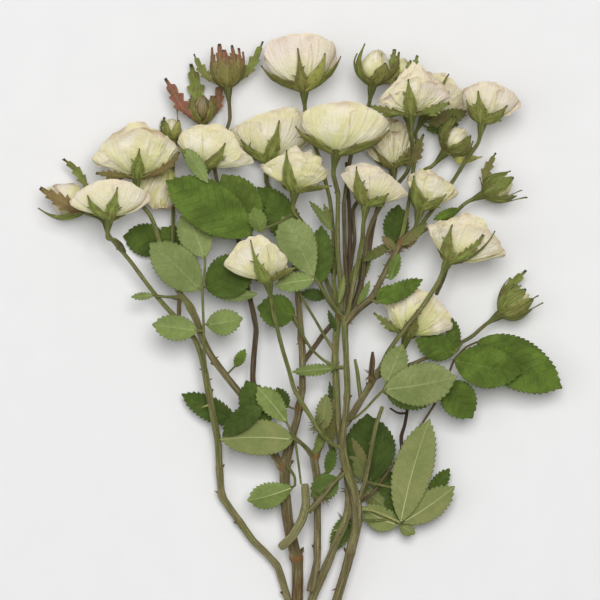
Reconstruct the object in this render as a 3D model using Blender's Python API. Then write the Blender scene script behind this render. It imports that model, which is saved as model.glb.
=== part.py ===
"""A dried cutting of a spray rose that lies flat.

The frame has +X to the right, +Y from the cut end towards the blooms and +Z up. The tables are in
millimetres, measured from the middle of the cutting, and every mesh is built in metres.
"""
import math
import random
from collections import namedtuple

import bmesh
import bpy
from mathutils import Vector
from mathutils.bvhtree import BVHTree

MM = 0.001
UP = Vector((0.0, 0.0, 1.0))

# The middle of the cutting in plan, on the surface that it lies on, and the block below that surface
MIDDLE = Vector((0.0, -4.0, 0.0))
GROUND_REACH = 400.0
GROUND_DEPTH = 20.0

# Gaps and thicknesses
CLEAR = 0.35
PETAL = 0.6
BLADE = 0.7

# Canes: how far a route may stray from its stations, and the radius from which a cane has more sides
SLACK = 0.3
THICK = 1.5
THICK_SIDES = 7
THIN_SIDES = 5
STEEP = 0.05

# Bowls of petals: how full the rim is, how fast the bowl climbs, and how far blooms and buds close
RIM_FULLNESS = 1.2
CLIMB = 1.3
OPEN = 0.5
SHUT = 0.86
LOWEST_T = 0.05
T_STEP = 0.02
BUD_SHOULDER = 0.85

# Petals of a whorl: count, half angle, places across a petal, scatter, and how one edge overlaps the next
WHORL = 5
PETAL_EDGES = (-1.0, -0.42, 0.42, 1.0)
PETAL_HALF_ANGLE = math.radians(28.0)
BUD_PETALS = 2
BUD_EDGES = (-1.0, -0.5, 0.0, 0.5, 1.0)
BUD_HALF_ANGLE = math.radians(80.0)
SCATTER = 0.04
RIM_HEIGHTS = (0.99, 1.07)
ROUNDING = 0.17
ROUNDNESS = 2.5
OVERLAP = 0.5

# Rings of a bloom and of a bud: share of the petals' height, scales across and along the axis, inset
OUTER_RINGS = ((0.28, 1.0, 1.0, 0.0), (0.64, 1.0, 1.0, 0.0), (1.0, 1.0, 1.0, 0.0), (1.0, 1.0, 1.0, PETAL))
INNER_RINGS = ((0.5, 0.55, 0.8, 0.0), (1.0, 0.48, 0.97, 0.0), (1.0, 0.48, 0.97, PETAL))
BUD_RINGS = ((0.22, 1.0, 1.0, 0.0), (0.55, 1.0, 1.0, 0.0), (1.0, 1.0, 1.0, 0.0), (0.97, 0.92, 0.92, PETAL))
SEAT = 0.2
HEART = 0.4
BUD_HEART = 0.8

# Hips: distance below the petals and radius, from the stalk's end up to the rim; some are swollen
HIP_LENGTH = 7.0
HIP_PROFILE = ((4.0, 1.4), (0.35, 1.95))
SWOLLEN = {"bloom_03": 1.4}

# Sepals: count, width, height over the petals, ridge, and share of the width at each share of the length
SEPALS = 4
SEPAL_WIDTH = 3.6
BUD_SEPALS = 3
BUD_SEPAL_WIDTH = 2.8
SEPAL_RISE = 1.5
SEPAL_RIDGE = 0.7
SEPAL_OUTLINE = ((0.0, 0.5), (0.35, 1.0), (0.7, 0.75))
HIDDEN_OUTLINE = ((0.0, 0.5), (0.45, 1.0))
HIDDEN_LENGTH = 0.7
TIP_HEIGHTS = [step / 20.0 for step in range(8, 21)]
TIP_AZIMUTHS = [math.radians(5.0 * step) for step in range(2, 35)]

# Leaf stalks and the blades' own stems
STALK = 0.62
STEM = 0.5
STALK_SIDES = 4
FOOT_STEP = 0.1
FOOT_MARGIN = 0.9

# Blades: teeth, outline, fold along the rib, arch, droop and roll; small blades are flatter
TEETH = ((9.0, 2), (16.0, 3), (26.0, 4), (1000.0, 5))
TOOTH_PEAK = 0.78
LAST_PEAK = 0.97
TOOTH_OUT = 0.32
TOOTH_IN = 0.4
LEAF_BROAD = 0.88
LEAF_FULL = 0.66
RIB = (0.36, 0.7, 1.0)
FOLD = 0.16
FOLDS = (0.5, 1.0)
ARCHES = (0.3, 1.2)
DROOPS = (-0.8, 0.6)
ROLLS = (-0.07, 0.07)
FULL_BEND_LENGTH = 20.0

# Settling a leaf: heights tried and the lowest that a blade may lie
LIFT_STEP = 0.8
LIFT_STEPS = 20
LOWEST_BLADE = 1.2

Bloom = namedtuple("Bloom", "base right top left depth sepals")
Bud = namedtuple("Bud", "base reach radius sepals")
Blade = namedtuple("Blade", "base tip width level face")
Leaf = namedtuple("Leaf", "stalk blades")

# Canes and twigs: stations of x, y, height and radius
MAIN_CANE = [(0, -143, 2.15, 2.4), (-0.5, -127, 2.15, 2.4), (-0.5, -111, 2.3, 2.4), (-1, -91, 3.5, 2.3),
             (-1, -76, 5, 2.3), (-3, -68.5, 6.5, 2.3), (-5, -59, 8, 2.1), (-6, -49, 9.5, 2.1),
             (-6, -37, 11, 2.1), (-3.5, -27, 12, 1.7), (-1, -18.5, 12.5, 1.5), (1, -7, 13, 1.4),
             (1, 7, 13, 1.35), (0, 20, 12.5, 1.3), (-1, 33, 12, 1.2), (-3, 49, 11.5, 1.1),
             (-6.5, 64, 11, 1.0)]
LEFT_ARM = [(-6, -40, 11, 1.6), (-11, -32, 12, 1.5), (-17, -21, 13.5, 1.4), (-22, -11, 15, 1.35),
            (-29, -2.5, 16, 1.3), (-35, 5.5, 17, 1.35), (-39, 13, 17.5, 1.4), (-41.5, 21, 18, 1.4),
            (-44.5, 27, 18, 1.4), (-48, 31, 18, 1.2), (-51, 37, 17.5, 1.0), (-54, 44, 17, 0.9),
            (-56, 51.5, 17, 0.85), (-57.5, 57, 17.5, 0.85), (-60, 63, 18, 0.8)]
LEFT_CANE = [(-1, -115, 2.6, 1.5), (-3, -101, 3, 1.5), (-5, -91, 3.5, 1.45), (-7, -84.5, 4, 1.45),
             (-9, -78, 4.5, 1.45), (-13.5, -73, 4.6, 1.4), (-18.5, -68.5, 4.6, 1.4), (-24, -62, 4.5, 1.4),
             (-29, -56, 4.4, 1.4), (-31, -50, 4.7, 1.4), (-32.5, -37, 6, 1.4), (-33, -27, 8, 1.4),
             (-35, -17, 10.5, 1.35), (-36.5, -9, 11.5, 1.35), (-38, 0, 12.3, 1.3), (-40, 8, 12.8, 1.2),
             (-42, 13, 12.8, 1.1), (-46, 17.5, 12.5, 1.0), (-51, 23, 12.5, 0.95), (-57, 29.5, 12, 0.95),
             (-61.5, 35.5, 12, 0.9), (-67, 43, 12, 0.85), (-72, 49, 12, 0.85), (-77, 55, 11.5, 0.8)]
RIGHT_CANE = [(-0.5, -127, 2.6, 1.6), (1, -115, 3.5, 1.7), (2.5, -101, 4.5, 1.7), (5, -91, 5.5, 1.7),
              (8, -84, 6, 1.7), (12, -75, 6.5, 1.7), (15, -67, 7, 1.7), (18, -61, 7.5, 1.7),
              (20, -53, 8, 1.6), (19.5, -45, 9, 1.6), (18, -36, 10, 1.5), (16, -27, 11, 1.5),
              (15, -17, 12, 1.45), (14.5, -5, 13, 1.4), (14, 5, 14, 1.4), (14.5, 15, 15, 1.4),
              (15.5, 23, 16.5, 1.2), (16.5, 31, 18, 1.1), (16, 39, 19.5, 1.0), (15, 49, 21, 0.95),
              (15, 59, 22.5, 0.9), (15.3, 71, 25, 0.9)]
CENTRE_CANE = [(1, -135, 2.8, 1.8), (7.5, -113, 5.5, 1.9), (12, -101, 7, 1.9), (15, -91, 8.5, 1.85),
               (18.5, -79, 10, 1.9), (21, -69, 11.5, 2.0), (23, -61, 12.5, 2.0), (23, -54.5, 13.5, 2.0),
               (21.5, -47, 14, 1.9), (19, -40, 14.5, 1.7), (17, -32, 15.2, 1.6), (17, -25, 16, 1.5),
               (18.5, -17, 17, 1.35), (19, -7, 18, 1.3), (18.5, 5, 19, 1.3), (18, 15, 19.5, 1.4),
               (18, 20, 19.5, 1.4), (18, 22.5, 19.5, 0.9)]
RIGHT_SHOOT = [(17.5, -22, 16, 1.5), (21, -17, 17, 1.5), (24, -12, 18, 1.4), (27, -7, 18.5, 1.3),
               (29.5, -3, 19, 1.2), (32, 1.5, 20, 1.0), (35, 8, 21.5, 0.95), (40, 15, 24, 0.9),
               (44, 20, 25.5, 0.9), (48, 25, 26, 0.9), (52.5, 31.5, 26, 0.9)]
THORNY_SHOOT = [(18, 19, 19.5, 1.3), (21, 23, 20, 1.25), (25, 27, 20.5, 1.2), (28.5, 29.5, 20.5, 1.2),
                (31, 34, 20.5, 1.15), (34, 40, 20, 1.15), (36.5, 45, 20, 1.15), (39, 49.5, 20, 1.1),
                (41.5, 53.5, 20, 1.0)]
DARK_SHOOT = [(-15, -24, 13, 1.2), (-17.5, -13, 12.5, 1.15), (-19, -3, 12, 1.15), (-18.5, 7, 12, 1.15),
              (-17.5, 17, 12, 1.1), (-19, 25, 12, 1.1), (-21, 33, 11.5, 1.05), (-23, 44, 11, 1.0),
              (-25, 55, 10.5, 0.95), (-28.5, 67, 11, 0.9)]

# Flower stalks and side twigs, each from the cane that it grows out of
STALKS = {
    "bloom_01": LEFT_ARM,
    "bloom_02": [(-70.5, 48.2, 12, 0.8), (-71.5, 51, 18, 0.8), (-74, 53, 25, 0.8)],
    "bloom_03": DARK_SHOOT,
    "bloom_04": [(16, 25, 16, 0.9), (13.5, 35, 15, 0.85), (13.5, 45, 14.5, 0.85), (13.5, 55, 15, 0.85),
                 (12, 69, 16, 0.8), (8, 85, 17, 0.8), (3.5, 97, 18.5, 0.8)],
    "bloom_05": MAIN_CANE,
    "bloom_06": RIGHT_CANE,
    "bloom_07": [(17, 21, 18.5, 0.9), (11, 29, 18, 0.85), (6, 39, 18, 0.8), (2.5, 51, 19, 0.8),
                 (1, 60, 22, 0.85)],
    "bloom_08": [(18, 19, 19.5, 1.0), (19.5, 25.5, 20, 0.95), (21, 33, 20.5, 0.9), (23, 43, 21, 0.9),
                 (25, 53, 23, 0.85)],
    "bloom_09": [(18, 20, 19, 1.0), (21, 25, 18, 0.9), (24.5, 33, 16, 0.9), (25.5, 44, 14, 0.85),
                 (26.5, 53, 13, 0.85), (29.5, 61.5, 13, 0.85), (34, 69, 13, 0.8), (39, 75, 14.5, 0.8),
                 (43, 80, 18, 0.8), (45, 87, 22, 0.8)],
    "bloom_10": [(39, 49.5, 20, 0.85), (41, 55, 17, 0.8), (43, 64, 13, 0.75), (44.5, 73, 11, 0.75),
                 (45.5, 81.5, 9, 0.75), (47, 91, 7, 0.75)],
    "bloom_11": [(46, 54.5, 15, 0.85), (50, 61, 12, 0.8), (54, 66, 11, 0.8), (58.5, 72.5, 11, 0.8),
                 (62, 77.5, 12, 0.8), (66.5, 85, 16, 0.8)],
    "bloom_12": THORNY_SHOOT,
    "bloom_13": RIGHT_SHOOT,
    "bloom_14": [(30, -2, 19, 0.9), (34.5, 2.5, 17, 0.85)],
    "bloom_15": [(17.5, -31, 15.5, 1.0), (13, -29, 17, 0.95), (8, -24, 19.5, 0.95), (4, -17.5, 21, 0.95),
                 (0.5, -12, 22, 0.9), (-2.5, -6.5, 22.5, 0.9), (-4.5, 1, 23, 0.85), (-7, 9, 24, 0.85),
                 (-9, 17, 25, 0.85), (-11, 25, 26, 0.85)],
    "bloom_16": [(18, 20, 19, 0.9), (19.5, 29, 17.5, 0.85), (20, 41, 13, 0.8), (22, 53, 10, 0.8),
                 (21, 65, 8.5, 0.8), (26, 73, 8, 0.8)],
    "bloom_17": [(-51, 92, 6.5, 0.8)],
    "bud_01": LEFT_CANE,
    "bud_02": [(-28.5, 67, 11, 0.8), (-33, 75, 9, 0.75), (-35, 85, 8.5, 0.75)],
    "bud_03": [(-35, 84, 8.5, 0.75), (-31, 93, 9, 0.75), (-28, 101, 11, 0.75)],
    "bud_04": [(17.5, 20, 18.5, 0.9), (18.5, 33, 16.5, 0.85), (18, 49, 14, 0.8), (17.5, 67, 14, 0.8),
               (20, 85, 15, 0.8), (23, 97.5, 16, 0.8)],
    "bud_05": [(38, 47.5, 20, 0.9), (42, 51.5, 17.5, 0.9), (47, 55, 14.5, 0.85), (52, 58, 11, 0.8),
               (56.5, 60, 9.5, 0.75), (61, 62.5, 9.5, 0.75)],
    "bud_06": [(30, -2.5, 18.5, 0.85), (37, 0.5, 14, 0.8), (46, 3.5, 11, 0.75), (55, 7.5, 9.5, 0.75),
               (62.5, 10.5, 9.5, 0.75), (69, 14, 10, 0.75)],
    "bud_07": [(-53, 42.5, 17, 0.75), (-51, 49, 12, 0.7), (-51, 63, 5, 0.7), (-51, 75, 3.5, 0.7),
               (-51, 83, 4, 0.7)],
    "bud_08": [(45, 90, 24, 0.75), (43, 100, 18.5, 0.7)],
    "bud_09": [(45, 76, 10.5, 0.75), (49.5, 81, 10.5, 0.75)],
}
TWIGS = {
    "cut_stub": [(2, -45, 17, 1.75), (2.5, -53, 16.5, 1.8), (1, -59, 16, 1.8), (-3, -66, 15.5, 1.8),
                 (-8, -70.5, 15.5, 1.75)],
    "stub_arm": [(19, -40, 15, 1.0), (16.5, -41.5, 16, 1.0), (13, -45, 16.5, 1.0), (8, -51, 16.5, 1.1),
                 (3.5, -56, 16.3, 1.2)],
    "short_cane": [(4, -88, 9.5, 1.55), (7, -76, 9.5, 1.55), (7, -67, 9.5, 1.5), (7, -55, 10, 1.5),
                   (7, -43, 10.5, 1.5), (5.5, -34.5, 11.5, 1.6), (9, -27, 12.5, 1.4), (12, -19, 12.5, 1.4),
                   (14, -11, 12.5, 1.2)],
    "cross_twig": [(14.5, 21, 15.8, 1.0), (10, 16, 14.5, 1.0), (5.5, 9.5, 13.5, 1.0), (1.5, 4, 13, 1.0)],
    "left_fork": [(-10, -33, 11.8, 1.0), (-13.5, -32, 11.5, 0.9), (-15, -29, 11.5, 0.7)],
    "dead_twig": [(-48, 31, 17, 0.9), (-48.5, 26, 16, 0.9), (-48.5, 22, 15.5, 0.9)],
    "thin_shoot": [(24, -51, 13.5, 1.0), (26.5, -42.5, 14.5, 0.9), (28.5, -31, 15.5, 0.85),
                   (30.5, -21, 16, 0.85), (33, -14, 16.5, 0.8)],
    "red_shoot": [(28.5, -4, 19, 1.0), (28.5, 0, 21, 1.1), (29, 4, 22, 1.2), (29, 8, 22.5, 0.5)],
    "green_shoot": [(24.5, -11, 18, 0.9), (23.5, -5, 18.5, 0.8), (23, 0, 18.5, 0.8), (22, 5, 18, 0.6)],
    "broken_stalk": [(59, 43, 22.5, 1.0), (57, 36.5, 21, 0.8), (54.5, 31, 20, 0.8)],
}

# Open blooms: base, reach to the right, top and left, depth, and the tips of the front sepals
BLOOMS = {
    "bloom_01": Bloom((-65, 78.5, 20), (17, 12.5), (2, 21), (-17, 7.5), 8,
                      [(1, 11.5), (-15.5, 2), (15, 10)]),
    "bloom_02": Bloom((-76, 62, 28.5), (15, 9), (2, 15.5), (-15.5, 5), 5.5, [(-8, 9), (3, 12)]),
    "bloom_03": Bloom((-38, 82.5, 22), (20, 2.5), (4, 17), (-10, 11), 6.5, [(-8.5, 9), (8, 9.5)]),
    "bloom_04": Bloom((1.5, 113.5, 21), (11.5, 13), (-1, 20.5), (-15, 11), 7.5,
                      [(-2, 16), (-15, 9.5), (11.5, 13)]),
    "bloom_05": Bloom((-13, 85, 7.5), (17.5, 13), (1.5, 20), (-14.5, 12), 7, [(-9.5, 9), (4.5, 16)]),
    "bloom_06": Bloom((14.5, 88, 32), (20.5, 11), (3, 19), (-14, 11), 8,
                      [(-14, 10.5), (19, 9.5), (3, 13)]),
    "bloom_07": Bloom((-2, 73, 29), (12, 7), (2, 16.5), (-13, 11), 7, [(-2.5, 15.5), (12.5, 3)]),
    "bloom_08": Bloom((26.5, 67.5, 29), (15, 4.5), (2.5, 17), (-9, 14.5), 7, [(-3, 14.5), (8, 5)]),
    "bloom_09": Bloom((44.5, 103.5, 32), (13, 8.5), (0, 21), (-16, 5), 8,
                      [(-1, 13.5), (-15.5, 4), (13, 5)]),
    "bloom_10": Bloom((50.5, 103.5, 6.4), (16, 4), (9, 16), (-2.5, 13), 6, [(9, 16)]),
    "bloom_11": Bloom((73, 100.5, 22), (14.5, 9), (3, 16.5), (-8.5, 13), 6.5,
                      [(-1, 12), (-5, 8.5), (8.5, 7)]),
    "bloom_12": Bloom((48, 66, 21), (15, 8.5), (3, 15.5), (-3, 14), 6, [(-1, 12.5), (9.5, 6)]),
    "bloom_13": Bloom((59.5, 45, 25), (22, 5), (8.5, 18.5), (-7, 15), 7.5,
                      [(2, 14), (13, 10.5), (17, 12)]),
    "bloom_14": Bloom((43, 15, 14.5), (17, 4), (5, 17.5), (-7, 14), 6, [(-11, 9), (4, 10.5)]),
    "bloom_15": Bloom((-13, 37, 31), (9, 8), (-3.5, 18), (-16.5, 7), 7, [(-6, 16), (9.5, 6)]),
    "bloom_16": Bloom((37, 83, 9), (7.5, 12), (-2, 18), (-12.5, 10), 5, [(6, 4)]),
    "bloom_17": Bloom((-53, 83, 10), (3, -17), (-5.5, -17), (-14, -14), 4.5, [(-4, -8)]),
}

# Buds: base, reach of the tip, radius, and the tips of the sepals
BUDS = {
    "bud_01": Bud((-86.5, 65.5, 11), (-13, 8), 6.4, [(-8.5, 18), (-16.5, 8.5), (-16.5, 1.5)]),
    "bud_02": Bud((-39, 100.5, 9), (-0.5, 10), 4, [(-5, 23.5), (-15, 18), (4, 17), (-0.5, 20)]),
    "bud_03": Bud((-29, 115, 13), (-1, 12), 4.8, [(-9, 14.8), (-4.5, 16), (2.5, 14.5), (12.5, 19)]),
    "bud_04": Bud((29, 115.5, 19), (2, 13), 6, [(-2, 14.5), (5.5, 14), (8.5, 11.5)]),
    "bud_05": Bud((74.5, 71.5, 12), (10, 4.5), 4, [(5, 16.5), (11.5, 7), (13, 2.5)]),
    "bud_06": Bud((81, 23.5, 11), (10, 7), 4.6, [(9, 15), (3, 11.5), (15, 5)]),
    "bud_07": Bud((-51, 94, 6), (0, 7), 3, [(-1, 8), (2, 9.5)]),
    "bud_08": Bud((40, 118, 17), (1.5, 7), 3.2, [(1, 10), (5.5, 7.5)]),
    "bud_09": Bud((59, 89, 10), (7, 8), 5.2, [(3, 11), (8, 4)]),
}

# Leaves: the stalk's points from the cane, then each blade's base, tip, width, height and face
LEAVES = {
    "leaf_01": Leaf([(-22, 38, 11.5), (-19.5, 44, 17), (-19.5, 53, 21), (-19.5, 56, 22)],
                    [Blade((-19.5, 55), (-53.5, 76.5), 20, 24, "upper"),
                     Blade((-18.5, 57.5), (-31, 79), 18, 21, "upper")]),
    "leaf_02": Leaf([(-37.8, -1, 12), (-38, 4, 17), (-38.5, 10, 20.8), (-38.5, 18, 22), (-38.8, 26, 22.5),
                     (-39, 33, 22.5), (-38, 41, 21.5), (-38, 46, 20.5)],
                    [Blade((-41, 16.5), (-59, 19), 10, 22, "under"),
                     Blade((-37.5, 19), (-23, 21.5), 10, 22, "under"),
                     Blade((-40, 33), (-60, 51.5), 16, 22.5, "under"),
                     Blade((-37.5, 33.5), (-18, 44), 17, 20, "upper"),
                     Blade((-38, 45.5), (-45.5, 65), 14, 20.5, "under")]),
    "leaf_03": Leaf([(-49.5, 34, 17.8), (-46.5, 40, 14), (-44.5, 44, 13), (-46, 47.5, 12), (-53, 51, 9.5)],
                    [Blade((-45, 46), (-55.5, 58), 12, 12, "upper"),
                     Blade((-53.5, 51.5), (-71, 54.5), 13, 9, "upper")]),
    "leaf_04": Leaf([(17, 21, 20), (14, 26, 22.5), (9, 33, 24.5), (6, 37.5, 25.5)],
                    [Blade((5.5, 37.5), (-7, 62), 15, 26, "under"),
                     Blade((5.5, 37), (-10, 34.5), 7.5, 26.5, "under"),
                     Blade((8, 35.5), (8.5, 58.5), 10, 23, "upper")]),
    "leaf_05": Leaf([(13, 1.5, 14), (9, 5, 17), (4.5, 9, 18), (1, 15, 18.5), (-2, 22, 18.5)],
                    [Blade((-2, 23), (-17, 26), 13, 18.5, "upper")]),
    "leaf_06": Leaf([(14.5, 8, 14.3), (10, 14, 17), (6, 21, 17.5), (0.5, 30, 16.5), (-1.5, 41, 16),
                     (-2, 51, 16)],
                    [Blade((-2, 51.5), (-12, 72), 13, 16, "upper"),
                     Blade((-3, 58), (-17, 74), 12, 14, "upper")]),
    "leaf_07": Leaf([(5.5, -34.5, 11.5), (1.5, -29, 18), (-2, -27.5, 21), (-4, -23, 22)],
                    [Blade((-3, -27), (-32, -27), 14, 21.5, "under"),
                     Blade((-5, -20.5), (-17, -6), 9, 22, "under")]),
    "leaf_08": Leaf([(-14, -26, 13), (-13.5, -23, 17)],
                    [Blade((-14, -22.5), (-21.5, -3.5), 13, 17.5, "upper")]),
    "leaf_09": Leaf([(-18, -20, 13.5), (-21.5, -21, 9), (-25, -20.5, 7)],
                    [Blade((-25.5, -20.5), (-47.5, -9), 9.5, 7, "upper")]),
    "leaf_10": Leaf([(18.5, -19, 17), (22, -18.5, 20.5), (26, -15, 22), (30, -10.5, 23), (33, -7.5, 23.5)],
                    [Blade((33.5, -7), (62.5, -2), 17, 24, "under"),
                     Blade((34.5, -4.5), (41, 11), 10, 21.5, "under"),
                     Blade((35, -9.5), (52.5, -12.5), 8, 22, "upper")]),
    "leaf_11": Leaf([(23, -53, 13), (29, -49, 10.5), (33.5, -43, 10), (41, -32, 9.5), (47, -24, 9.5),
                     (54, -13, 10.5), (59, -3, 12.5), (61.5, 4.5, 14), (66.5, 10, 15), (71, 12, 15.5)],
                    [Blade((71, 12), (105, -6.5), 20, 15, "upper"),
                     Blade((62, 4.5), (88.5, -0.5), 17, 19, "upper"),
                     Blade((58.5, -4), (69, -18.5), 14, 15, "upper")]),
    "leaf_12": Leaf([(65, 12, 9.8), (62.5, 8, 12.5)],
                    [Blade((62, 7.5), (46.5, 13), 11, 12.5, "upper"),
                     Blade((62, 8.5), (61, 21.5), 5.5, 12, "upper")]),
    "leaf_13": Leaf([(22.5, -49, 13.7), (26.5, -47, 8), (28.5, -44, 5.5)],
                    [Blade((28.5, -44), (27, -17), 20, 5.5, "upper"),
                     Blade((28.5, -46), (43, -44), 10, 4, "upper")]),
    "leaf_14": Leaf([(24.5, -55, 13), (29.5, -55.5, 12), (35, -58, 11), (40.5, -60.5, 11)],
                    [Blade((40.5, -60), (52, -19), 15.5, 13, "under"),
                     Blade((41, -60.5), (62, -46), 11, 11, "under"),
                     Blade((39.5, -61.5), (25, -54.5), 10, 8.5, "under"),
                     Blade((40, -61.5), (46, -65), 5, 9.5, "under")]),
    "leaf_15": Leaf([(28, 29, 20.5), (31, 27.5, 23)],
                    [Blade((31, 28), (49, 37), 7, 23, "upper"),
                     Blade((31, 28), (37.5, 34.5), 6, 22.5, "upper")]),
    "leaf_16": Leaf([(37.5, 47, 20), (37, 49.5, 16)], [Blade((37.6, 51), (39.5, 67), 10, 15.5, "upper")]),
    "leaf_17": Leaf([(65, 66, 11), (65, 66, 13.5), (64, 65.6, 14.5)],
                    [Blade((63.7, 65.4), (53.5, 61), 3.5, 14.2, "upper")]),
    "leaf_18": Leaf([(20.2, -52, 8), (20, -56, 4.5)], [Blade((19.8, -57.5), (13, -72.5), 7, 3.5, "upper")]),
    "leaf_19": Leaf([(18, -38, 14.5), (15.5, -42, 13.4)],
                    [Blade((15, -42.5), (4.5, -50), 10, 13.3, "upper")]),
    "leaf_20": Leaf([(8, -28, 12.5), (9, -24, 16)], [Blade((9, -23.5), (10.5, -9), 6.5, 16, "under")]),
    "leaf_21": Leaf([(18.5, 2, 19), (14, 1.5, 18.5)], [Blade((13.5, 1.5), (-3, 0), 4.5, 18.5, "under")]),
    "leaf_22": Leaf([(-47.5, 30, 18), (-53, 30, 16), (-58, 30.5, 15)],
                    [Blade((-58.5, 30.7), (-67.5, 30), 2.8, 15, "under")]),
    "leaf_23": Leaf([(-3.5, -37, 13.5), (-2, -42, 16), (-2, -45.5, 16)],
                    [Blade((-2.5, -46), (-21, -51.5), 10, 15, "under")]),
}

# Colour, roughness and metallic value of each kind of piece
FINISHES = {
    "canes": ((0.17, 0.15, 0.06, 1.0), 0.7),
    "petals": ((0.80, 0.74, 0.56, 1.0), 0.6),
    "upper": ((0.10, 0.16, 0.04, 1.0), 0.65),
    "under": ((0.27, 0.33, 0.12, 1.0), 0.7),
}


def clear_scene():
    for item in list(bpy.data.objects):
        bpy.data.objects.remove(item, do_unlink=True)


def material(name, kind):
    """Principled material of one node."""
    colour, roughness = FINISHES[kind]
    finish = bpy.data.materials.new(name)
    finish.use_nodes = True
    shader = finish.node_tree.nodes["Principled BSDF"]
    shader.inputs["Base Color"].default_value = colour
    shader.inputs["Roughness"].default_value = roughness
    shader.inputs["Metallic"].default_value = 0.0
    return finish


def outward(vertices, faces):
    """The same closed shell with its faces turned out."""
    volume = 0.0
    for face in faces:
        first = vertices[face[0]]
        for second, third in zip(face[1:], face[2:]):
            volume += first.dot(vertices[second].cross(vertices[third]))
    if volume < 0.0:
        faces = [tuple(reversed(face)) for face in faces]
    return vertices, faces


def mesh_object(name, vertices, faces):
    mesh = bpy.data.meshes.new(name)
    mesh.from_pydata([(vertex - MIDDLE) * MM for vertex in vertices], [], faces)
    item = bpy.data.objects.new(name, mesh)
    bpy.context.scene.collection.objects.link(item)
    return item


def fuse(name, shells, finish):
    """Join closed shells into one solid."""
    body = mesh_object(name, *shells[0])
    pieces = bpy.data.collections.new(name + "_pieces")
    bpy.context.scene.collection.children.link(pieces)
    for number, shell in enumerate(shells[1:]):
        piece = mesh_object("{}_piece_{}".format(name, number), *shell)
        bpy.context.scene.collection.objects.unlink(piece)
        pieces.objects.link(piece)
    if len(shells) > 1:
        union = body.modifiers.new("Union", "BOOLEAN")
        union.operation = "UNION"
        union.operand_type = "COLLECTION"
        union.collection = pieces
        union.solver = "MANIFOLD"
        apply_modifiers(body)
    for piece in list(pieces.objects):
        bpy.data.objects.remove(piece, do_unlink=True)
    bpy.data.collections.remove(pieces)
    body.data.materials.clear()
    body.data.materials.append(finish)
    return body


def apply_modifiers(item):
    graph = bpy.context.evaluated_depsgraph_get()
    mesh = bpy.data.meshes.new_from_object(item.evaluated_get(graph))
    item.modifiers.clear()
    item.data = mesh


def finish_mesh(item):
    """Split every face into triangles and drop loose scraps."""
    mesh = bmesh.new()
    mesh.from_mesh(item.data)
    bmesh.ops.triangulate(mesh, faces=mesh.faces)
    groups = linked_groups(mesh)
    scraps = [vertex for group in groups[:-1] for vertex in group]
    bmesh.ops.delete(mesh, geom=scraps, context="VERTS")
    mesh.to_mesh(item.data)
    mesh.free()


def linked_groups(mesh):
    """Vertices in groups joined by edges, the largest group last."""
    seen = set()
    groups = []
    for vertex in mesh.verts:
        if vertex in seen:
            continue
        group = [vertex]
        seen.add(vertex)
        for member in group:
            for edge in member.link_edges:
                other = edge.other_vert(member)
                if other not in seen:
                    seen.add(other)
                    group.append(other)
        groups.append(group)
    return sorted(groups, key=len)


def tube(stations, sides):
    """Closed tube through stations of point and radius, with one flat side down."""
    points = [point for point, radius in stations]
    count = len(points)
    vertices = []
    for place, (point, radius) in enumerate(stations):
        ahead = (points[min(place + 1, count - 1)] - points[max(place - 1, 0)]).normalized()
        across = ahead.cross(UP)
        across = across.normalized() if across.length > STEEP else Vector((1.0, 0.0, 0.0))
        lift = across.cross(ahead)
        for corner in range(sides):
            angle = math.tau * (corner + 0.5) / sides - math.pi / 2.0
            vertices.append(point + (across * math.cos(angle) + lift * math.sin(angle)) * radius)
    faces = []
    for ring in range(count - 1):
        for corner in range(sides):
            after = (corner + 1) % sides
            faces.append((ring * sides + corner, ring * sides + after,
                          (ring + 1) * sides + after, (ring + 1) * sides + corner))
    faces.append(tuple(reversed(range(sides))))
    faces.append(tuple((count - 1) * sides + corner for corner in range(sides)))
    return outward(vertices, faces)


def stations_of(table):
    return [(Vector(row[:3]), row[3]) for row in thinned(table)]


def thinned(table):
    """The same route without the stations that lie within the slack of a straight run."""
    if len(table) < 3:
        return list(table)
    start = Vector(table[0])
    span = Vector(table[-1]) - start
    worst = 0.0
    split = None
    for number, row in enumerate(table[1:-1], 1):
        offset = Vector(row) - start
        share = offset.dot(span) / span.length_squared
        stray = (offset - span * share).length
        if stray > worst:
            worst = stray
            split = number
    if worst < SLACK:
        return [table[0], table[-1]]
    return thinned(table[:split + 1])[:-1] + thinned(table[split:])


class Cup:
    """The bowl that a bloom's petals lie on, flattened in depth as the bloom dried."""

    def __init__(self, base, right, top, left, depth, closing):
        self.base = Vector(base)
        top = Vector((top[0], top[1], 0.0))
        self.axis = top.normalized()
        self.across = self.axis.cross(UP)
        self.height = top.length
        self.depth = depth
        self.closing = closing
        right = Vector((right[0], right[1], 0.0))
        left = Vector((left[0], left[1], 0.0))
        self.right = (right.dot(self.across), right.dot(self.axis))
        self.left = (-left.dot(self.across), left.dot(self.axis))

    def point(self, t, azimuth, proud=0.0):
        """The surface at t from base to rim, with a distance to stand proud sideways."""
        side = math.cos(azimuth)
        front = math.sin(azimuth)
        reach = (self.right[0] + self.left[0]) / 2.0 + (self.right[0] - self.left[0]) / 2.0 * side
        rim = (self.right[1] + self.left[1]) / 2.0 + (self.right[1] - self.left[1]) / 2.0 * side
        high = rim + (self.height - rim) * abs(front) ** RIM_FULLNESS
        swing = self.across * (reach * side) + UP * (self.depth * front)
        out = math.sin(self.closing * math.pi * t)
        place = self.base + self.axis * (high * t ** CLIMB) + swing * out
        return place + swing.normalized() * proud

    def normal(self, t, azimuth):
        t = max(t, LOWEST_T)
        along = self.point(t + T_STEP, azimuth) - self.point(t - T_STEP, azimuth)
        around = self.point(t, azimuth + T_STEP) - self.point(t, azimuth - T_STEP)
        normal = around.cross(along).normalized()
        outside = self.point(t, azimuth) - self.base - self.axis * self.height
        return normal if normal.dot(outside) > 0.0 else -normal


def bloom_cup(bloom):
    return Cup(bloom.base, bloom.right, bloom.top, bloom.left, bloom.depth, OPEN)


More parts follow.
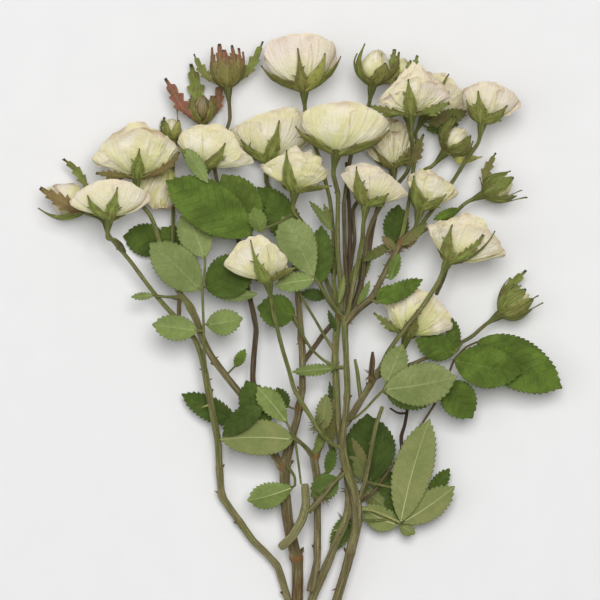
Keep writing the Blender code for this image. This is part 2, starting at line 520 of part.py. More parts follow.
def bud_cup(bud):
    reach = Vector((bud.reach[0], bud.reach[1]))
    side = Vector((reach.y, -reach.x)).normalized() * bud.radius
    shoulder = reach * BUD_SHOULDER
    return Cup(bud.base, shoulder + side, reach, shoulder - side, bud.radius, SHUT)


def lathe(foot, rings, top):
    """Closed shell from a foot point through rings of equal count to a top point."""
    count = len(rings[0])
    vertices = [foot] + [point for ring in rings for point in ring] + [top]
    faces = []
    for place in range(count):
        after = (place + 1) % count
        faces.append((0, 1 + after, 1 + place))
        for ring in range(len(rings) - 1):
            low = 1 + ring * count
            high = low + count
            faces.append((low + place, low + after, high + after))
            faces.append((low + place, high + after, high + place))
        low = 1 + (len(rings) - 1) * count
        faces.append((low + place, low + after, len(vertices) - 1))
    return outward(vertices, faces)


def whorl(edges, petals, half_angle, start, draw):
    """Azimuth, place across its petal and rim height of each column of one whorl."""
    columns = []
    for number in range(petals):
        centre = start + math.tau * number / petals + draw.uniform(-SCATTER, SCATTER)
        high = draw.uniform(*RIM_HEIGHTS)
        for u in edges:
            rim = high * (1.0 - ROUNDING * abs(u) ** ROUNDNESS)
            columns.append((centre + u * half_angle, u, rim))
    return columns


def petal_ring(cup, columns, share, across, along, inset):
    """One ring round the petals at a share of their height, scaled about the base and inside by inset."""
    ring = []
    for azimuth, u, rim in columns:
        t = rim * share
        place = cup.point(t, azimuth, OVERLAP * u * min(1.0, 2.0 * t)) - cup.normal(t, azimuth) * inset
        reach = place - cup.base
        high = cup.axis * reach.dot(cup.axis)
        ring.append(cup.base + high * along + (reach - high) * across)
    return ring


def bloom_shell(cup, draw):
    """Petals in two whorls, folded from one closed shell: outer petals, valley, inner petals, heart."""
    start = draw.uniform(0.0, math.tau / WHORL)
    outer = whorl(PETAL_EDGES, WHORL, PETAL_HALF_ANGLE, start, draw)
    inner = whorl(PETAL_EDGES, WHORL, PETAL_HALF_ANGLE, start + math.pi / WHORL, draw)
    half = len(PETAL_EDGES) // 2
    inner = [(azimuth - math.tau, u, rim) for azimuth, u, rim in inner[-half:]] + inner[:-half]
    rings = [petal_ring(cup, outer, *ring) for ring in OUTER_RINGS]
    rings += [petal_ring(cup, inner, *ring) for ring in INNER_RINGS]
    return lathe(cup.base + cup.axis * SEAT, rings, cup.base + cup.axis * (cup.height * HEART))


def bud_shell(cup, draw):
    """Petals wrapped round each other, open only at the tip."""
    columns = whorl(BUD_EDGES, BUD_PETALS, BUD_HALF_ANGLE, draw.uniform(0.0, math.pi), draw)
    rings = [petal_ring(cup, columns, *ring) for ring in BUD_RINGS]
    return lathe(cup.base + cup.axis * SEAT, rings, cup.base + cup.axis * (cup.height * BUD_HEART))


def sepal(cup, tip, width):
    """A narrow pointed sepal that lies on the petals and ends at its tip in plan."""
    goal = cup.base + Vector((tip[0], tip[1], 0.0))
    best = None
    for reach in TIP_HEIGHTS:
        for azimuth in TIP_AZIMUTHS:
            miss = goal - cup.point(reach, azimuth)
            miss.z = 0.0
            if best is None or miss.length < best[0]:
                best = (miss.length, azimuth, reach, miss)
    return sepal_shell(cup, *best[1:], width, SEPAL_OUTLINE)


def sepal_shell(cup, azimuth, reach, offset, width, outline):
    """Three-sided wedge from the hip along the bowl."""
    rings = []
    for step, share in outline:
        t = reach * step
        normal = cup.normal(t, azimuth)
        swing = cup.point(max(t, LOWEST_T), azimuth) - cup.base
        place = cup.point(t, azimuth, OVERLAP) + normal * SEPAL_RISE + offset * step ** 2
        beside = swing.cross(normal).normalized() * (width * share / 2.0)
        rings.append((place - beside, place + beside, place + normal * SEPAL_RIDGE))
    end = cup.point(reach, azimuth, OVERLAP) + cup.normal(reach, azimuth) * SEPAL_RISE + offset
    vertices = [corner for ring in rings for corner in ring] + [end]
    faces = [(0, 1, 2)]
    for ring in range(len(rings) - 1):
        for corner in range(3):
            after = (corner + 1) % 3
            faces.append((ring * 3 + corner, ring * 3 + 3 + corner, ring * 3 + 3 + after))
            faces.append((ring * 3 + corner, ring * 3 + 3 + after, ring * 3 + after))
    last = len(vertices) - 1
    faces += [(last - 3, last, last - 2), (last - 2, last, last - 1), (last - 1, last, last - 3)]
    return outward(vertices, faces)


def calyx(cup, tips, width, count):
    """The sepals of one flower: those whose tips are set, and the rest round the back."""
    shells = [sepal(cup, tip, width) for tip in tips]
    hidden = count - len(tips)
    for number in range(hidden):
        azimuth = -math.pi * (number + 1.0) / (hidden + 1.0)
        shells.append(sepal_shell(cup, azimuth, HIDDEN_LENGTH, Vector(), width, HIDDEN_OUTLINE))
    return shells


def flower_route(name, cup):
    """Stations of a stalk from its cane to the hip, and of the hip below the petals."""
    stations = stations_of(STALKS[name])
    swell = SWOLLEN.get(name, 1.0)
    stations.append((cup.base - cup.axis * HIP_LENGTH, stations[-1][1] * swell))
    stations += [(cup.base - cup.axis * below, radius * swell) for below, radius in HIP_PROFILE]
    return stations


def cane_routes():
    """Stations of every cane, stalk, hip and twig."""
    routes = [stations_of(CENTRE_CANE)]
    routes += [flower_route(name, bloom_cup(bloom)) for name, bloom in BLOOMS.items()]
    routes += [flower_route(name, bud_cup(bud)) for name, bud in BUDS.items()]
    routes += [stations_of(table) for table in TWIGS.values()]
    return routes


def cane_shells(routes):
    """Every cane, stalk, hip, sepal and twig of the cutting."""
    shells = [tube(stations, THICK_SIDES if stations[0][1] > THICK else THIN_SIDES) for stations in routes]
    for bloom in BLOOMS.values():
        shells += calyx(bloom_cup(bloom), bloom.sepals, SEPAL_WIDTH, SEPALS)
    for bud in BUDS.values():
        shells += calyx(bud_cup(bud), bud.sepals, BUD_SEPAL_WIDTH, BUD_SEPALS)
    return shells


def blade_half_width(blade, share):
    return blade.width / 2.0 * math.sin(math.pi * share ** LEAF_BROAD) ** LEAF_FULL


def blade_outline(blade, length):
    """Plan outline of one side of a blade, as share of length and half width."""
    teeth = next(count for limit, count in TEETH if length < limit)
    outline = []
    for tooth in range(teeth):
        peak = min((tooth + TOOTH_PEAK) / teeth, LAST_PEAK)
        outline.append((peak, blade_half_width(blade, peak) + TOOTH_OUT))
        notch = (tooth + 1.0) / teeth
        if tooth < teeth - 1:
            outline.append((notch, blade_half_width(blade, notch) - TOOTH_IN))
    return outline


def blade_shell(blade, joint, level, draw, thickness):
    """A toothed blade on its own short stem, folded along its rib and arched from base to tip."""
    base = Vector((blade.base[0], blade.base[1], level))
    along = Vector((blade.tip[0], blade.tip[1], level)) - base
    length = along.length
    ahead = along.normalized()
    beside = ahead.cross(UP)
    bend = min(1.0, length / FULL_BEND_LENGTH)
    arch = draw.uniform(*ARCHES) * bend
    droop = draw.uniform(*DROOPS) * bend
    roll = draw.uniform(*ROLLS)
    fold = FOLD * draw.uniform(*FOLDS) * (1.0 if blade.face == "upper" else -1.0)

    def place(share, aside):
        lift = arch * 4.0 * share * (1.0 - share) + droop * share + fold * abs(aside) + roll * aside
        return base + ahead * (length * share) + beside * aside + UP * lift

    stem = (base - joint).cross(UP)
    stem = stem.normalized() * STEM if stem.length > STEM else beside * STEM
    top = [joint + stem, joint - stem, place(0.0, STEM), place(0.0, -STEM)]
    rib = len(top)
    top += [place(share, 0.0) for share in RIB]
    triangles = [(0, 2, 3), (0, 3, 1), (2, rib, 3)]
    outline = blade_outline(blade, length)
    for sign, first in ((1.0, 2), (-1.0, 3)):
        edge = [first] + [len(top) + number for number in range(len(outline))]
        top += [place(share, sign * half) for share, half in outline]
        half_blade = side_triangles([rib + number for number in range(len(RIB))], edge, outline)
        triangles += half_blade if sign > 0.0 else [tuple(reversed(face)) for face in half_blade]
    half = UP * (thickness / 2.0)
    layer = len(top)
    vertices = [point + half for point in top] + [point - half for point in top]
    faces = list(triangles)
    faces += [tuple(layer + index for index in reversed(face)) for face in triangles]
    sides = {pair for face in triangles for pair in zip(face, face[1:] + face[:1])}
    for first, second in sorted(sides):
        if (second, first) not in sides:
            faces.append((second, first, layer + first))
            faces.append((second, layer + first, layer + second))
    return outward(vertices, faces)


def side_triangles(rib, edge, outline):
    """Triangles between the rib and the toothed edge, from the base to the tip."""
    triangles = []
    inner, outer = 0, 0
    while inner < len(rib) - 1 or outer < len(edge) - 1:
        beyond = inner == len(rib) - 1 or outer < len(edge) - 1 and outline[outer][0] <= RIB[inner]
        if beyond:
            triangles.append((rib[inner], edge[outer], edge[outer + 1]))
            outer += 1
        else:
            triangles.append((rib[inner], edge[outer], rib[inner + 1]))
            inner += 1
    return triangles


def nearest_bark(point, routes):
    """Gap from a point to the nearest bark, and the place inside that cane."""
    best = None
    for stations in routes:
        for (start, thin), (end, thick) in zip(stations, stations[1:]):
            span = end - start
            share = max(0.0, min(1.0, (point - start).dot(span) / span.length_squared))
            place = start + span * share
            gap = (point - place).length - thin - (thick - thin) * share
            if best is None or gap < best[0]:
                best = (gap, place)
    return best


def leaf_foot(stalk, routes):
    """The stalk's first point, moved out along the stalk until its end is clear of the bark."""
    place = nearest_bark(stalk[0], routes)[1]
    ahead = (stalk[1] - place).normalized()
    across = ahead.orthogonal().normalized() * STALK
    lift = across.cross(ahead)
    while min(nearest_bark(place + side, routes)[0] for side in (across, lift, -across, -lift)) < CLEAR:
        place = place + ahead * FOOT_STEP
    return place


def leaf_shells(leaf, lift, draw, routes, pad=0.0):
    """Stalk and blades of a leaf, raised bodily by lift away from its foot."""
    points = [Vector(point) for point in leaf.stalk]
    foot = leaf_foot(points, routes)
    stalk = [foot] + [point + UP * lift for point in points[1:]]
    if pad > 0.0:
        stalk[0] = foot + (stalk[1] - foot).normalized() * FOOT_MARGIN
    shells = [tube([(point, STALK + pad) for point in stalk], STALK_SIDES)]
    for blade in leaf.blades:
        base = Vector((blade.base[0], blade.base[1], blade.level + lift))
        joint = nearest_bark(base, [[(point, STALK) for point in stalk]])[1]
        shells.append(blade_shell(blade, joint, base.z, draw, BLADE + 2.0 * pad))
    return shells


def tree_of(vertices, faces):
    return BVHTree.FromPolygons([vertex.copy() for vertex in vertices], faces)


def tree_of_object(item):
    vertices = [vertex.co / MM + MIDDLE for vertex in item.data.vertices]
    return tree_of(vertices, [tuple(face.vertices) for face in item.data.polygons])


def settled_lift(name, leaf, routes, standing):
    """The smallest rise or fall that keeps a leaf clear of what stands already."""
    lifts = [0.0]
    for step in range(1, LIFT_STEPS + 1):
        lifts += [step * LIFT_STEP, -step * LIFT_STEP]
    lowest = min(blade.level for blade in leaf.blades)
    for lift in lifts:
        if lowest + lift < LOWEST_BLADE:
            continue
        shells = leaf_shells(leaf, lift, random.Random(name), routes, CLEAR)
        trees = [tree_of(*shell) for shell in shells]
        if not any(tree.overlap(other) for tree in trees for other in standing):
            return lift
    raise RuntimeError("no clear place for " + name)


def trim_flat(item):
    """Cut away what reaches below the surface that the cutting lies on."""
    across = (-GROUND_REACH, GROUND_REACH)
    corners = [Vector((x, y, z)) for z in (-GROUND_DEPTH, 0.0) for y in across for x in across]
    faces = [(0, 2, 3, 1), (4, 5, 7, 6), (0, 1, 5, 4), (1, 3, 7, 5), (3, 2, 6, 7), (2, 0, 4, 6)]
    cutter = mesh_object("ground", *outward(corners, faces))
    cutter.display_type = "WIRE"
    cutter.hide_render = True
    cut = item.modifiers.new("Flat", "BOOLEAN")
    cut.operation = "DIFFERENCE"
    cut.object = cutter
    cut.solver = "MANIFOLD"
    apply_modifiers(item)
    bpy.data.objects.remove(cutter, do_unlink=True)


def main():
    clear_scene()
    routes = cane_routes()
    canes = fuse("canes", cane_shells(routes), material("canes", "canes"))
    trim_flat(canes)
    finish_mesh(canes)
    standing = [tree_of_object(canes)]
    petals = {name: bloom_shell(bloom_cup(bloom), random.Random(name)) for name, bloom in BLOOMS.items()}
    petals.update({name: bud_shell(bud_cup(bud), random.Random(name)) for name, bud in BUDS.items()})
    for name, shell in petals.items():
        item = fuse(name, [shell], material(name, "petals"))
        finish_mesh(item)
        standing.append(tree_of_object(item))
    for name, leaf in LEAVES.items():
        lift = settled_lift(name, leaf, routes, standing)
        shells = leaf_shells(leaf, lift, random.Random(name), routes)
        item = fuse(name, shells, material(name, leaf.blades[0].face))
        finish_mesh(item)
        standing.append(tree_of_object(item))


main()
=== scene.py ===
"""The finished look of a dried spray rose that lies flat.

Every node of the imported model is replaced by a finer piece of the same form. The tables are in millimetres,
measured from the middle of the cutting, and every mesh is built in metres.
"""
import math
import random
from collections import namedtuple

import bpy
import numpy as np
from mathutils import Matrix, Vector


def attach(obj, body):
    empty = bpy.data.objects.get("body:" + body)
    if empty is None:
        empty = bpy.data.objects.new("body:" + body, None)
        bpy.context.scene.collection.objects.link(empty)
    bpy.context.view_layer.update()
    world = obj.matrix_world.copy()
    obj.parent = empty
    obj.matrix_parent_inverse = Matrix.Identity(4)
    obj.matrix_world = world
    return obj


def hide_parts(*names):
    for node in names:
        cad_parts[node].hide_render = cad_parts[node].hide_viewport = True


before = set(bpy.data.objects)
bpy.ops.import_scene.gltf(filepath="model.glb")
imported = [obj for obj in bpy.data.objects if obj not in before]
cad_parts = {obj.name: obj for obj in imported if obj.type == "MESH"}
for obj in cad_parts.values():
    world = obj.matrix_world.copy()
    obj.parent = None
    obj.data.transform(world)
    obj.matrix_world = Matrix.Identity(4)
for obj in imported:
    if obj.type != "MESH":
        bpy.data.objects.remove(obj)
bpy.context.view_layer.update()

MM = 0.001
UP = np.array((0.0, 0.0, 1.0))
NOTHING = np.zeros(3)
MIDDLE = np.array((0.0, -4.0, 0.0))

Bloom = namedtuple("Bloom", "base right top left depth sepals")
Bud = namedtuple("Bud", "base reach radius sepals")
Blade = namedtuple("Blade", "base tip width level face")
Leaf = namedtuple("Leaf", "stalk blades")
Petal = namedtuple("Petal", "centre spread tall across along curl rows columns drop")
Whorl = namedtuple("Whorl", "count turned spread tall across along curl rows columns")
# Noise over a sheet: its scale and start across and along, and its seed. On petals also its depth when flat,
# what crumpling adds to that, and how it grows towards the rim
Wave = namedtuple("Wave", "across start along first seed flat crumpled grows", defaults=(0.0, 0.0, 0.0))

# Camera: straight above the middle of the view, which is this wide
VIEW_CENTRE = (0.0, 0.0328)
VIEW_WIDTH = 0.24
VIEW_HEIGHT = 3.0
VIEW_PLANE = 0.02
SENSOR = 36.0

# Lights: name, place, size, power and colour
LIGHTS = (("key", (0.12, 0.48, 2.1), 1.0, 35.0, (1.0, 0.995, 0.985)),
          ("fill", (-0.9, 0.1, 1.6), 1.2, 5.0, (0.98, 0.99, 1.0)))
WORLD_LIGHT = 0.24
FLOOR_REACH = 3.0
FLOOR_HEIGHT = -0.0002

# Meshes, and the caps and ridges of tubes
LATTICE = 64
TABLE_GAP = 0.02
SHARP_EDGE = math.radians(55.0)
THINNEST = 0.04
UPRIGHT = 0.05
CAP_PUSH = 0.25
CAP_SHARE = 0.82
CAP_STEP = 0.7
CUT_WOOD = -1.0
SHADES = 97
RIDGE = Wave(2.2, 7.0, 0.12, 3.0, 0)
FURROW = Wave(5.0, 20.0, 0.3, 0.0, 1)
FURROW_SHARE = 0.6
ROUTE_STEP = 0.8
FEWEST_STEPS = 6

# Bowls that petals lie on, as the solids have them, and how their rims are stretched to the outlines
RIM_FULLNESS = 1.2
CLIMB = 1.3
OPEN = 0.5
SHUT = 0.86
BUD_SHOULDER = 0.85
LOWEST_T = 0.05
T_STEP = 0.02
RIM_STEPS = 61
RIM_SHARES = np.linspace(0.0, 0.95, 20)
BEARING_JUMP = 1.6 * math.pi
REACH_LIMITS = (0.8, 1.24)

# Petals
PETAL_FOOT = 0.08
PETAL_THICKNESS = 0.3
PETAL_THINNING = 0.16
PETAL_OVERLAP = 0.9
FOOT_SPREAD = 0.8
CREASE_SHARPNESS = 4.0
WRINKLE_SHARPNESS = 3.2
CURL_START = 0.72
SIDE_CURL = 0.3
FIBRE_SPREAD = 3.0
TINT_SHARES = ((0.6, 1.3), (0.5, 1.3), (0.4, 1.3))
PETAL_WAVES = {
    "rim": Wave(2.2, 5.0, 0.0, 0.5, 0, 0.02, 0.035),
    "frill": Wave(8.0, 30.0, 0.0, 0.5, 1, 0.012, 0.022),
    "swerve": Wave(2.0, 9.0, 2.0, 0.0, 2, 0.0, 0.05),
    "pleat": Wave(4.0, 11.0, 1.6, 2.0, 3, 0.24, 0.0, 1.4),
    "fold": Wave(1.7, 21.0, 2.3, 4.0, 4, 0.2, 0.75, 1.2),
    "fibre": Wave(12.0, 3.0, 3.0, 0.0, 5, 0.06),
    "curl": Wave(1.5, 2.0, 0.0, 0.3, 6),
    "crease": Wave(2.6, 13.0, 2.4, 9.0, 7, 0.04, 0.8, 0.7),
    "wrinkle": Wave(5.0, 2.0, 6.0, 6.0, 8, 0.02, 0.25, 0.7),
}
PETAL_RELIEF = ("pleat", "fold", "fibre", "crease", "wrinkle")

# Whorls: the outer ones of a bloom by turn, width, step up and curl, then the inner ones and those of a bud
OUTER_WHORLS = ((0.0, 1.0, 0.28, (0.4, 1.5)), (0.5, 0.86, 0.12, (-0.2, 1.0)))
OUTER_SPREAD = 1.6 * math.pi
OUTER_CELLS = 21
OUTER_SHIFTS = (-0.08, 0.08)
OUTER_HEIGHTS = (0.98, 1.04)
OUTER_STEPS = (0.6, 1.3)
HEART_WHORLS = (Whorl(4, 0.3, 54.0, (0.97, 1.04), 0.62, 0.99, (-1.0, 0.2), 14, 14),
                Whorl(3, 0.6, 66.0, (0.9, 1.0), 0.38, 0.94, (-1.2, -0.2), 12, 14))
BUD_WHORLS = (Whorl(3, 0.0, 72.0, (0.98, 1.04), 1.0, 1.0, (0.0, 0.6), 16, 14),
              Whorl(3, 0.5, 70.0, (0.98, 1.06), 0.8, 1.0, (-0.3, 0.3), 14, 14),
              Whorl(2, 0.0, 88.0, (0.94, 1.02), 0.5, 0.98, (-0.3, 0.1), 12, 12))
BLOOM_DROP = 0.1
BUD_DROP = 0.25

# Hips: how much wider the stalk is at each depth below its end, and the last rows that turn green
HIP_LENGTH = 7.0
HIP_END = 0.9
HIP_STATIONS = (HIP_LENGTH + 2.0, HIP_LENGTH, 4.0, 0.0, -HIP_END)
HIP_SHAPE = ((-0.9, 0.5), (0.0, 1.1), (1.0, 1.2), (2.4, 0.95), (4.0, 0.55), (5.6, 0.2), (7.0, 0.0))
HIP_ROWS = (14, 8)
SWOLLEN = {"bloom_03": 1.4}

# Sepals: outlines as shares of the length and of the width, then sizes and noise
SLIM = ((0, 0.75), (0.1, 0.95), (0.22, 1), (0.4, 0.76), (0.55, 0.42), (0.7, 0.22), (0.85, 0.11), (1, 0.03))
LANCE = ((0, 0.55), (0.15, 0.72), (0.3, 0.95), (0.42, 1), (0.55, 0.85), (0.7, 0.5), (0.82, 0.22),
         (0.92, 0.09), (1, 0.03))
BROAD = ((0, 0.7), (0.15, 0.92), (0.35, 1), (0.55, 0.84), (0.72, 0.48), (0.86, 0.2), (1, 0.03))
CLOSED = ((0, 0.55), (0.2, 0.9), (0.45, 1), (0.65, 0.92), (0.8, 0.68), (0.92, 0.36), (1, 0.06))
CROWN = ((0, 0.6), (0.25, 0.95), (0.55, 1), (0.72, 0.78), (0.87, 0.42), (1, 0.05))
PLUME = ((0, 0.3), (0.38, 0.34), (0.46, 0.7), (0.6, 1), (0.75, 0.86), (0.88, 0.45), (1, 0.03))
FERN = ((0, 0.4), (0.2, 0.6), (0.4, 0.95), (0.55, 1), (0.72, 0.75), (0.88, 0.4), (1, 0.04))
LEAFY = (PLUME, FERN, CROWN)
LEAFY_CELLS = (60, 8)
PLAIN_CELLS = (24, 6)
SEPALS = 4
SEPAL_WIDTH = 4.7
BUD_SEPALS = 3
BUD_SEPAL_WIDTH = 4.8
SEPAL_THICKNESS = 0.35
SEPAL_RISE = 1.5
CLOSE_RISE = 1.0
LEAST_SPEED = 1.4
WIDEST_TURN = 0.95
RAGGED_EDGE = 0.18
SEPAL_SWAY = 0.5
SEPAL_EDGE = Wave(11.0, 0.0, 0.0, 0.5, 1)
SEPAL_SWERVE = Wave(2.0, 3.0, 0.0, 0.5, 0)
SEPAL_BUCKLE = Wave(1.5, 4.0, 5.0, 0.0, 2)
SEPAL_TEETH = Wave(6.0, 0.0, 0.0, 0.5, 5)
PLUME_TEETH = 6.5
LEAFY_TEETH = 7.0
SAW_PEAK = 0.8
SAW_START = (0.3, 0.46)
SAW_DRIFT = 0.02
SAW_DEPTH = 0.5
SAW_REACH = 0.05
LAID = 0.85
LOOSE = -1.0
LOBED_WIDTH = 3.0
LOBE_LENGTHS = (1.2, 2.8)
LOBE_HALF = 0.36
LOBE_THICKNESS = 0.25
HIDDEN_LENGTH = 0.7
HIDDEN_TINT = (0.1, 0.3, 0.0)
TIP_HEIGHTS = [step / 20.0 for step in range(8, 21)]
TIP_AZIMUTHS = [math.radians(5.0 * step) for step in range(2, 35)]

# Canes: sides and ridges of thick and of thin bark, nodes, slivers, prickles and bristles
THICK_CANE = 1.3
THICK_BARK = (20, 0.08)
THIN_BARK = (12, 0.06)
NODED_ROWS = 30
NODE_SPACING = 30.0
NODE_CLEARANCE = 12.0
RING_SWELL = 0.1
RING_WIDTH = 1.3
RING_RED = 0.45
RED_WIDTH = 0.8
KNOT_REACH = 1.6
KNOT_RED_REACH = 1.5
STUB_ENDS = (0.72, 0.95)
THORN_SEED = 3
EYE_SEED = 5
EYE_TONE = (0.9, 0.5, 0.2)
SLIVER_RISES = (0.0, 0.7)
SLIVER_LENGTHS = (0.45, 1.0)
SLIVER_BENDS = (-0.25, 0.25)
SLIVER_RADII = (0.11, 0.24)
PRICKLE_RADIUS = 0.45
BRISTLES = 90
BRISTLE_RADIUS = 0.16
BRISTLE_RISES = (-0.2, 0.4)
BRISTLE_LENGTHS = (0.5, 1.1)
BRISTLE_TONE = (0.5, 0.3, 0.3)
LOWEST_BRISTLE = -40.0
STRAY_SEED = 40

# Leaves: stalks, then the form, the teeth and the veins of blades
STALK = 0.6
STALK_FOOT = 1.25
STALK_TAPER = 0.02
STALK_SIDES = 10
STALK_RIDGES = 0.05
STEM_SIDES = 8
STEM_RADII = (0.46, 0.44, 0.4)
PLAIN_STALK = (0.2, 0.05, 0.0)
STEM_TONE = (0.15, 0.0, 0.0)
LIFTS = {"leaf_03": -7.2, "leaf_04": -0.8, "leaf_09": -0.8, "leaf_10": 2.4, "leaf_12": -0.8, "leaf_16": -4.0}
LEAF_BROAD = 0.88
LEAF_FULL = 0.66
TIP_START = 0.85
FOOT_HALF = 0.42
TIP_HALF = 0.05
BLADE_THICKNESS = 0.42
BLADE_THINNING = 0.2
BLADE_COLUMNS = np.array((-1.0, -0.93, -0.74, -0.5, -0.27, -0.1, 0.0, 0.1, 0.27, 0.5, 0.74, 0.93, 1.0))
LAST_INNER = 0.9
RIB_COLUMN = 0.1
RIB_HALF = 0.38
RIB_SHARE = 0.16
RIB_SUNK = 0.12
RIB_RAISED = 0.14
FOLD = 0.16
FOLDS = (0.5, 1.0)
ARCHES = (0.3, 1.2)
DROOPS = (-0.8, 0.6)
ROLLS = (-0.07, 0.07)
FULL_BEND_LENGTH = 20.0
FEWEST_TEETH = 7
TOOTH_LENGTH = 1.2
TOOTH_GROWTH = 0.022
TOOTH_PHASES = (0.0, 0.3, 0.58, 0.82)
TOOTH_LIFTS = (-0.45, 0.1, 0.45, 0.7)
TOOTH_FORWARD = (0.0, 0.0, 0.0, 0.16)
BITES = {"upper": 0.62, "under": 0.7}
FULL_BITE_WIDTH = 7.0
VEIN_SPACING = 3.9
VEIN_RELIEF = 0.1
BLADE_TEETH = Wave(0.9, 0.0, 0.0, 2.5, 0)
BLADE_BUCKLE = Wave(3.0, 3.0, 3.0, 8.0, 1)
BLADE_RIPPLE = Wave(0.35, 0.0, 0.35, 20.0, 2)

# Colours of petals, leaves, sepals, bark and floor. Pairs are the two ends of a pattern
CREAMS = ((0.81, 0.755, 0.46), (0.895, 0.84, 0.65))
GREEN_FOOT = (0.44, 0.49, 0.13)
YELLOW_GREEN = (0.66, 0.66, 0.22)
PINK = (0.87, 0.74, 0.66)
VEIN_TAN = (0.50, 0.44, 0.17)
# Painted shade along the creases and wrinkles of the petals
CREASE_SHADE = (0.56, 0.47, 0.22)
# Painted shade in the fine crinkles of the petals
CRINKLE_SHADE = (0.58, 0.50, 0.26)
SPECK_TAN = (0.60, 0.54, 0.27)
# Petal rims: partly the browning of dried rims, partly painted shade for the line under an overlapping rim
RIM_BROWN_AND_SHADE = (0.36, 0.20, 0.08)
STALE_BROWN = (0.33, 0.23, 0.11)
SPOT_BROWN = (0.05, 0.03, 0.015)
OLIVE_SHADE = (0.13, 0.10, 0.03)
TOP_GREENS = ((0.090, 0.142, 0.014), (0.150, 0.238, 0.028))
TOP_MOTTLE = (0.052, 0.092, 0.010)
TOP_VEIN = (0.17, 0.24, 0.05)
UNDER_GREENS = ((0.215, 0.272, 0.084), (0.290, 0.345, 0.125))
UNDER_MOTTLE = (0.160, 0.212, 0.058)
UNDER_NET = (0.37, 0.42, 0.18)
UNDER_VEIN = (0.38, 0.43, 0.19)
DRY_LEAF = ((0.13, 0.095, 0.035), (0.285, 0.245, 0.095))
# Painted shade for blades whose dryness is below nought
PAINTED_LEAF_SHADE = (0.030, 0.050, 0.008)
DEEP_LEAF = (0.06, 0.10, 0.016)
LEAF_RIB = (0.56, 0.58, 0.30)
LEAF_BRINK = (0.05, 0.055, 0.015)
SEPAL_GREENS = ((0.125, 0.165, 0.026), (0.27, 0.31, 0.075))
SEPAL_DARKS = ((0.055, 0.065, 0.014), (0.135, 0.145, 0.035))
SEPAL_REDS = ((0.13, 0.045, 0.028), (0.36, 0.14, 0.095))
SEPAL_EDGES = ((0.38, 0.37, 0.15), (0.14, 0.10, 0.04))
SEPAL_PALE = (0.36, 0.36, 0.09)
SEPAL_BLOTCH = (0.15, 0.11, 0.04)
SEPAL_MOTTLE = (0.06, 0.075, 0.014)
SEPAL_RIB = (0.36, 0.38, 0.15)
SEPAL_TIP = (0.03, 0.022, 0.014)
BARK_GREENS = ((0.115, 0.135, 0.032), (0.275, 0.285, 0.095))
BARK_TANS = ((0.120, 0.100, 0.040), (0.330, 0.285, 0.140))
BARK_BROWNS = ((0.075, 0.045, 0.016), (0.290, 0.190, 0.080))
BARK_DARKS = ((0.035, 0.020, 0.015), (0.10, 0.065, 0.048))
BARK_LIGHTS = ((0.24, 0.22, 0.10), (0.38, 0.36, 0.17))
HIP_GREENS = ((0.060, 0.070, 0.014), (0.15, 0.175, 0.04))
CUT_CREAMS = ((0.26, 0.23, 0.11), (0.44, 0.40, 0.22))
BARK_PALE = (0.42, 0.43, 0.16)
NODE_RED = (0.27, 0.13, 0.045)
PIT_BROWN = (0.065, 0.045, 0.022)
FLOOR_GREYS = ((0.80, 0.80, 0.805), (0.84, 0.838, 0.842))

# Canes and twigs: stations of x, y, height and radius
MAIN_CANE = [
    (0, -143, 2.15, 2.4), (-0.5, -127, 2.15, 2.4), (-0.5, -111, 2.3, 2.4), (-1, -91, 3.5, 2.3),
    (-1, -76, 5, 2.3), (-3, -68.5, 6.5, 2.3), (-5, -59, 8, 2.1), (-6, -49, 9.5, 2.1), (-6, -37, 11, 2.1),
    (-3.5, -27, 12, 1.7), (-1, -18.5, 12.5, 1.5), (1, -7, 13, 1.4), (1, 7, 13, 1.35), (0, 20, 12.5, 1.3),
    (-1, 33, 12, 1.2), (-3, 49, 11.5, 1.1), (-6.5, 64, 11, 1),
]
LEFT_ARM = [
    (-6, -40, 11, 1.6), (-11, -32, 12, 1.5), (-17, -21, 13.5, 1.4), (-22, -11, 15, 1.35),
    (-29, -2.5, 16, 1.3), (-35, 5.5, 17, 1.35), (-39, 13, 17.5, 1.4), (-41.5, 21, 18, 1.4),
    (-44.5, 27, 18, 1.4), (-48, 31, 18, 1.2), (-51, 37, 17.5, 1), (-54, 44, 17, 0.9), (-56, 51.5, 17, 0.85),
    (-57.5, 57, 17.5, 0.85), (-60, 63, 18, 0.8),
]
LEFT_CANE = [
    (-1, -115, 2.6, 1.5), (-3, -101, 3, 1.5), (-5, -91, 3.5, 1.45), (-7, -84.5, 4, 1.45),
    (-9, -78, 4.5, 1.45), (-13.5, -73, 4.6, 1.4), (-18.5, -68.5, 4.6, 1.4), (-23.3, -61.6, 4.5, 1.4),
    (-27.9, -55.4, 4.4, 1.4), (-31.5, -50, 4.7, 1.4), (-32.5, -37, 6, 1.4), (-33, -27, 8, 1.4),
    (-35, -17, 10.5, 1.35), (-36.5, -9, 11.5, 1.35), (-38, 0, 12.3, 1.3), (-40, 8, 12.8, 1.2),
    (-42, 13, 12.8, 1.1), (-46, 17.5, 12.5, 1), (-51, 23, 12.5, 0.95), (-57, 29.5, 12, 0.95),
    (-61.5, 35.5, 12, 0.9), (-67, 43, 12, 0.85), (-72, 49, 12, 0.85), (-77, 55, 11.5, 0.8),
]
RIGHT_CANE = [
    (-0.5, -127, 2.6, 1.6), (1, -115, 3.5, 1.7), (2.5, -101, 4.5, 1.7), (5, -91, 5.5, 1.7),
    (8, -84, 6, 1.7), (12, -75, 6.5, 1.7), (15, -67, 7, 1.7), (18, -61, 7.5, 1.7), (20, -53, 8, 1.6),
    (19.5, -45, 9, 1.6), (18, -36, 10, 1.5), (16, -27, 11, 1.5), (15, -17, 12, 1.45), (14.5, -5, 13, 1.4),
    (14, 5, 14, 1.4), (14.5, 15, 15, 1.4), (15.5, 23, 16.5, 1.2), (16.5, 31, 18, 1.1), (16, 39, 19.5, 1),
    (15, 49, 21, 0.95), (15, 59, 22.5, 0.9), (15.3, 71, 25, 0.9),
]
